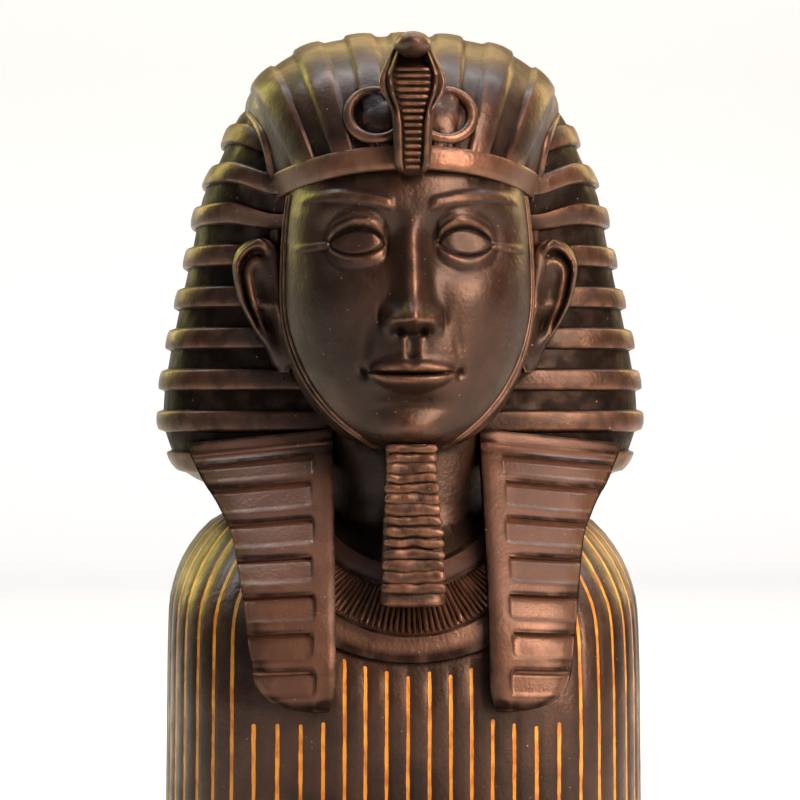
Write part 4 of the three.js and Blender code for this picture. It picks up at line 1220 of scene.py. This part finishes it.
# Ribs along a path, by Geometry Nodes: the collar's fringe, the beard's ribs and the cobra's rungs
def buildRibGroup():
    tree = bpy.data.node_groups.new("ribsAlongPath", "GeometryNodeTree")
    sockets = [["Path", "Geometry", None], ["Count", "Int", 10], ["Rib Width", "Float", 0.001],
               ["Rib Height", "Float", 0.001], ["Roundness", "Int", 1], ["Unevenness", "Float", 0.1],
               ["Waviness", "Float", 0.0], ["Wave Size", "Float", 0.002], ["Seed", "Int", 3],
               ["Finish", "Material", None]]
    for socket in sockets:
        groupSocket(tree, *socket)
    groupSocket(tree, "Ribs", "Geometry", into=False)
    add, sums = wiring(tree)[:2]
    given, result = add("NodeGroupInput").outputs, add("NodeGroupOutput")

    def geometry(kind, inputs, **settings):
        return add("GeometryNode" + kind, inputs, **settings).outputs[0]

    curve = geometry("MeshToCurve", {"Mesh": given["Path"]})
    points = geometry("ResampleCurve", {"Curve": curve, "Count": given["Count"]})
    block = geometry("MeshCube", {"Size": (1, 1, 1), "Vertices Y": 5})
    rib = geometry("SubdivisionSurface", {"Mesh": block, "Level": given["Roundness"]})
    facing = geometry("InputNamedAttribute", {"Name": "facing"}, data_type="FLOAT_VECTOR")
    span = geometry("InputNamedAttribute", {"Name": "span"})
    axes = {"Primary Axis": facing, "Secondary Axis": geometry("InputTangent", {})}
    turn = add("FunctionNodeAxesToRotation", axes, primary_axis="Z", secondary_axis="X").outputs[0]
    jitter = add("FunctionNodeRandomValue", {"Min": -1, "Seed": given["Seed"]}).outputs[1]
    width = sums("MULTIPLY", sums("MULTIPLY_ADD", jitter, given["Unevenness"], 1.0), given["Rib Width"])
    size = add("ShaderNodeCombineXYZ", {"X": width, "Y": span, "Z": given["Rib Height"]}).outputs[0]
    copies = {"Points": points, "Instance": rib, "Rotation": turn, "Scale": size}
    placed = geometry("InstanceOnPoints", copies)
    real = geometry("RealizeInstances", {"Geometry": placed})
    scale = sums("DIVIDE", 1.0, given["Wave Size"])
    noise = add("ShaderNodeTexNoise", {"Vector": geometry("InputPosition", {}), "Scale": scale})
    middle = {0: noise.outputs["Color"], 1: (0.5, 0.5, 0.5)}
    centred = add("ShaderNodeVectorMath", middle, operation="SUBTRACT").outputs[0]
    wave = add("ShaderNodeVectorMath", {0: centred, "Scale": given["Waviness"]}, operation="SCALE")
    moved = geometry("SetPosition", {"Geometry": real, "Offset": wave.outputs[0]})
    finished = add("GeometryNodeSetMaterial", {"Geometry": moved, "Material": given["Finish"]})
    tree.links.new(finished.outputs["Geometry"], result.inputs["Ribs"])
    return tree


ribGroup = buildRibGroup()


def ribs(name, piece, path, facing, span):  # a piece's ribs across a path, standing out along facing
    mesh = bpy.data.meshes.new(name)
    mesh.from_pydata(np.array(path) * square + netOrigin, [[i, i + 1] for i in range(len(path) - 1)], [])
    facings = mesh.attributes.new("facing", "FLOAT_VECTOR", "POINT")
    facings.data.foreach_set("vector", np.ravel(facing).astype(float))
    spans = mesh.attributes.new("span", "FLOAT", "POINT")
    spans.data.foreach_set("value", np.ravel(span) * square)
    values = {"Count": piece["ribs"], "Roundness": piece["ribRoundness"], "Unevenness": piece["ribUneven"],
              "Seed": piece["ribSeed"], "Finish": figureFinish}
    lengths = {"Rib Width": "ribWidth", "Rib Height": "ribHeight",
               "Waviness": "ribWave", "Wave Size": "ribWaveSize"}
    values.update({label: piece[key] * square for label, key in lengths.items()})
    obj = holder(mesh)
    modifier = obj.modifiers.new("ribs", "NODES")
    modifier.node_group = ribGroup
    for item in ribGroup.interface.items_tree:
        if item.name in values:
            modifier[item.identifier] = values[item.name]
    result = evaluated(obj)
    drop(obj)
    return result


def facingOf(surface, path):  # outward normals of y = surface(x, z) along a path
    h = 0.05
    x, _, z = path.T
    slopeX = (surface(x + h, z) - surface(x - h, z)) / (2 * h)
    slopeZ = (surface(x, z + h) - surface(x, z - h)) / (2 * h)
    normal = np.column_stack([slopeX, -np.ones(len(x)), slopeZ])
    return normal / np.linalg.norm(normal, axis=1, keepdims=True)


def fringeRibs():
    angle = np.radians(np.linspace(-collar["ribTurn"], collar["ribTurn"], 90))
    inner, outer = collarRim(1, angle), collarRim(2, angle)
    path = collarPoint((inner + outer) / 2, angle, collar["lift"][1])
    return ribs("fringe", collar, path, facingOf(chestFront, path), outer - inner + collar["ribOver"])


def ribsDown(name, piece, top, bottom, half, sunk, lean):  # ribs down the front of a piece
    z = np.linspace(top, bottom, 30)
    path = stack(0 * z, piece["front"](z) + sunk, z)
    return ribs(name, piece, path, np.tile((0, -1.0, lean), (30, 1)), half(z) * 2 * piece["ribSpan"])


def beardRibs():
    return ribsDown("beardRibs", beard, beard["ribTop"], beard["ribBottom"], beard["half"], 0.35, 0.08)


def cobraRungs():
    first, last = cobra["bottom"] + 1.1, cobra["ladderTop"] - 0.3
    return ribsDown("rungs", cobra, first, last, cobra["bandHalf"], 0.5, 0)


def figureMesh():
    body = [chestSkin(), trunkSkin()]
    body += [*bothSides("foreleg", legRings(foreleg)), *bothSides("hindFoot", legRings(hindFoot))]
    body += [tube("tail", tail["path"], tail["radius"], 16, 70), neckSkin(), collarSkin()]
    cloth = [wingSkin(), crownSkin(), pigtailSkin(), *bothSides("lappet", lappetRings()), browBandSkin()]
    for sign in (1, -1):
        cloth.append(tube("foldEdge", foldEdgePath(sign), foldEdge["radius"], 12, 50))
        for level in (0, 1):
            path = strapPath(level) * (sign, 1, 1)
            cloth.append(tube("chinStrap", path, lambda t: chinStrap["radius"], 8, 70))
    skins = [headSkin(), *bothSides("ear", earRings()), beardSkin(), cobraSkin()]
    skins += [egg("cobraHead", cobra["headMiddle"], cobra["headReach"]), *cobraLoops()]
    carved = [fringeRibs(), beardRibs(), cobraRungs()]
    parts = body + cloth + skins + carved
    return joined("casting", parts, [slab((-80, -140, -30), (80, 140, 0))])


figure = holder(figureMesh())
figure.name = "castFigure"
figure.data.name = "castFigure"
triangles = sum(len(p.vertices) - 2 for p in figure.data.polygons)
print("figure cast:", triangles, "triangles")


def neighbourMean(values, ends, count):  # mean over each point's neighbours along the edges
    total = np.zeros((count, values.shape[1]))
    degree = np.zeros(count)
    for a, b in (ends.T, ends.T[::-1]):
        np.add.at(total, a, values[b])
        np.add.at(degree, a, 1)
    return total / np.maximum(degree, 1)[:, None]


def roomOver(points):  # room over each point of the chest for its gold line, below 0 off the chest
    x, y, z = points.T
    n = chest["roundness"](z)
    depth = np.where(y < chest["axis"], chest["before"](z), chest["behind"](z))
    reach = (np.abs(x) / chest["half"](z)) ** n + (np.abs(y - chest["axis"]) / depth) ** n
    standOff = (reach ** (1 / n) - 1) * np.hypot(x, y - chest["axis"])
    onChest = (np.abs(standOff) < 0.75) & (y < chest["capeEnd"] - 0.5)
    onChest &= (z < chest["linesTop"] - 0.5) & (z > 0.5)
    return np.where(onChest, lineTop(x, z), -6)


def paintedSheenOf(points):  # where a copper sheen is painted on as colour: lappets, brow band and collar
    x, y, z = points.T
    side = np.abs(x)
    chestY, crownY = chestFront(x, z), crownFront(x, z)
    lappetY = chestFront(x, z, lappet["reach"], lappet["front"](z))
    onLappet = (side > lappet["inner"] - 0.2) & (side < lappet["outer"](z) + 0.8) & (y < lappetY + 1.9)
    onLappet &= (z > lappet["bottom"] - 0.2) & (z < lappet["top"] + 0.2)
    fromMiddle = np.hypot(x / collar["aside"][3], (z - collar["middle"]) / collar["down"][3])
    onCollar = (fromMiddle < 1.03) & (z < 74) & (side < lappet["inner"] + 0.5)
    onCollar &= (y < chestY - 0.2) & (y > chestY - 1.9)
    level = z + browBand["drop"] * (x / browBand["half"]) ** 2
    onBand = (level > browBand["bottom"] - 0.1) & (level < browBand["top"] + 0.1)
    onBand &= (side < browBand["half"] + 0.2) & (y < crownY - 0.4) & (y > crownY - 2.2)
    return np.select([onLappet, onBand, onCollar], [1, 0.8, 0.6])


def bendOf(place, normal, ends):  # above 0 on edges that stand out, below 0 in hollows
    count = len(place)
    length = np.linalg.norm(place[ends[:, 0]] - place[ends[:, 1]], axis=1)
    bend, weight = np.zeros(count), np.zeros(count)
    for a, b in (ends.T, ends.T[::-1]):
        step = place[a] - place[b]
        np.add.at(bend, a, (step * normal[a]).sum(1) / np.maximum(length, 1e-5))
        np.add.at(weight, a, 1)
    bend = (bend / np.maximum(weight, 1))[:, None]
    for _ in range(4):
        bend = (bend + neighbourMean(bend, ends, count)) / 2
    return bend[:, 0]


def addFigureAttributes(mesh):  # what the resin's material reads
    def read(data, label, width, kind=float):
        values = np.zeros(len(data) * width, kind)
        data.foreach_get(label, values)
        return values.reshape(-1, width)

    place, normal = (read(mesh.vertices, label, 3) for label in ("co", "normal"))
    points = (place - netOrigin) / square
    # the sheen layer marks where a copper sheen is painted; edgeBend drives the rubbed edges with their
    # painted highlight and the painted shade in hollows
    layers = {"goldLine": lineCoordinate(points), "goldRoom": roomOver(points), "paintedSheen": paintedSheenOf(points),
              "edgeBend": bendOf(place, normal, read(mesh.edges, "vertices", 2, int))}
    for name, values in layers.items():
        mesh.attributes.new(name, "FLOAT", "POINT").data.foreach_set("value", values.astype(float))


def smoothed(mesh, degrees):
    mesh.shade_smooth()
    mesh.set_sharp_from_angle(angle=math.radians(degrees))


# marks for the gold lines, the rubbed edges with painted highlights, the painted sheen and the painted
# shade
addFigureAttributes(figure.data)
smoothed(figure.data, 52)
print("gold lines and rubbed edges marked on the figure")

# Plinth
plinth = {"bevel": 1.6, "segments": 4}


def plinthMesh():
    low, high = (np.array(corner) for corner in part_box("plinth"))
    mesh = slab(*((corner - netOrigin) / square for corner in (low, high)))
    block = holder(mesh)
    edge = block.modifiers.new("edge", "BEVEL")
    edge.width = plinth["bevel"] * square
    edge.segments = plinth["segments"]
    edge.limit_method = "NONE"
    result = evaluated(block)
    drop(block)
    return result


base = holder(plinthMesh())
base.name = "castPlinth"
smoothed(base.data, 42)
print("plinth made")

figure.data.polygons.foreach_set("material_index", [0] * len(figure.data.polygons))
for piece, finish in ((figure, figureFinish), (base, plinthFinish), (nodes["sphinx"], plinthFinish),
                      (nodes["plinth"], plinthFinish)):
    piece.data.materials.clear()
    piece.data.materials.append(finish)
print("finishes given to the pieces")

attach(figure, "root")
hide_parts("sphinx")
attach(base, "root")
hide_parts("plinth")

# Floor, light and camera
studio = {
    "floor": [(-4.0, 0.0), (1.3, 0.0)],  # y and z, before the backdrop curves up
    "sweep": 0.35,
    "height": 0.62,
    "width": 8.0,
    "cameraTurn": 2.5,  # degrees to the viewer's left of the figure's axis
    "cameraDistance": 0.490,
    "cameraHeight": 0.1098,
    "lens": 132.3,
    "floorColour": (0.76, 0.755, 0.75, 1),
    "worldColour": (0.025, 0.023, 0.026, 1),
    "lights": [
        # name, place, aimed at, width, height, watts, colour
        ["key", (0.68, -0.82, 0.46), (0.0, -0.03, 0.12), 0.5, 0.6, 16, (1.0, 0.64, 0.45)],
        ["high", (0.42, -0.6, 0.8), (0.0, -0.03, 0.11), 0.5, 0.4, 9.5, (1.0, 0.68, 0.5)],
        ["top", (0.05, -0.2, 1.0), (0.0, -0.02, 0.12), 0.4, 0.3, 0.6, (0.8, 0.76, 0.95)],
        ["rimLeft", (-0.62, 0.6, 0.5), (0.0, 0.0, 0.13), 0.35, 0.5, 2.7, (1.0, 0.88, 0.26)],
        ["rimRight", (0.62, 0.6, 0.5), (0.0, 0.0, 0.13), 0.35, 0.5, 2.7, (1.0, 0.72, 0.3)],
        ["rimTop", (0.0, 0.62, 0.7), (0.0, 0.0, 0.14), 0.7, 0.3, 2.3, (1.0, 0.72, 0.28)],
        ["fill", (-0.6, -0.9, 0.3), (0.0, -0.03, 0.12), 0.5, 0.6, 0.5, (0.94, 0.88, 0.9)],
        ["backdrop", (0.0, 0.5, 1.9), (0.0, 1.7, 0.1), 3.0, 0.6, 56, (0.88, 0.95, 1.0)],
    ],
}


def aim(obj, place, target):
    way = np.array(target, float) - np.array(place, float)
    obj.location = place
    flat = math.hypot(way[0], way[1])
    obj.rotation_euler = (math.pi / 2 + math.atan2(way[2], flat), 0, math.atan2(-way[0], way[1]))


def addStudio():
    (front, _), (back, _) = studio["floor"]
    bend = np.radians(np.linspace(0, 90, 13))
    sweep = studio["sweep"]
    outline = [(front, 0), *((back + sweep * math.sin(t), sweep * (1 - math.cos(t))) for t in bend)]
    outline.append((back + sweep, studio["height"]))
    points = [(side * studio["width"] / 2, y, z) for y, z in outline for side in (-1, 1)]
    mesh = bpy.data.meshes.new("floor")
    strips = [[2 * i, 2 * i + 1, 2 * i + 3, 2 * i + 2] for i in range(len(outline) - 1)]
    mesh.from_pydata(points, [], strips)
    mesh.shade_smooth()
    floor = holder(mesh)
    pale = bpy.data.materials.new("paleFloor")
    pale.use_nodes = True
    surface = pale.node_tree.nodes["Principled BSDF"].inputs
    surface["Base Color"].default_value, surface["Roughness"].default_value = studio["floorColour"], 0.8
    mesh.materials.append(pale)
    for name, place, target, width, height, watts, colour in studio["lights"]:
        light = bpy.data.lights.new(name, "AREA")
        light.shape = "RECTANGLE"
        light.size, light.size_y = width, height
        light.energy, light.color = watts, colour
        lamp = bpy.data.objects.new(name, light)
        bpy.context.scene.collection.objects.link(lamp)
        aim(lamp, place, target)
    world = bpy.data.worlds.new("studio")
    world.use_nodes = True
    world.node_tree.nodes["Background"].inputs["Color"].default_value = studio["worldColour"]
    bpy.context.scene.world = world
    cameraData = bpy.data.cameras.new("camera")
    cameraData.lens = studio["lens"]
    camera = bpy.data.objects.new("camera", cameraData)
    bpy.context.scene.collection.objects.link(camera)
    turn = math.radians(studio["cameraTurn"])
    away = studio["cameraDistance"]
    camera.location = (-away * math.sin(turn), -away * math.cos(turn), studio["cameraHeight"])
    camera.rotation_euler = (math.pi / 2, 0, -turn)
    bpy.context.scene.camera = camera
    bpy.context.scene.view_settings.view_transform = "Standard"


addStudio()
print("studio set")
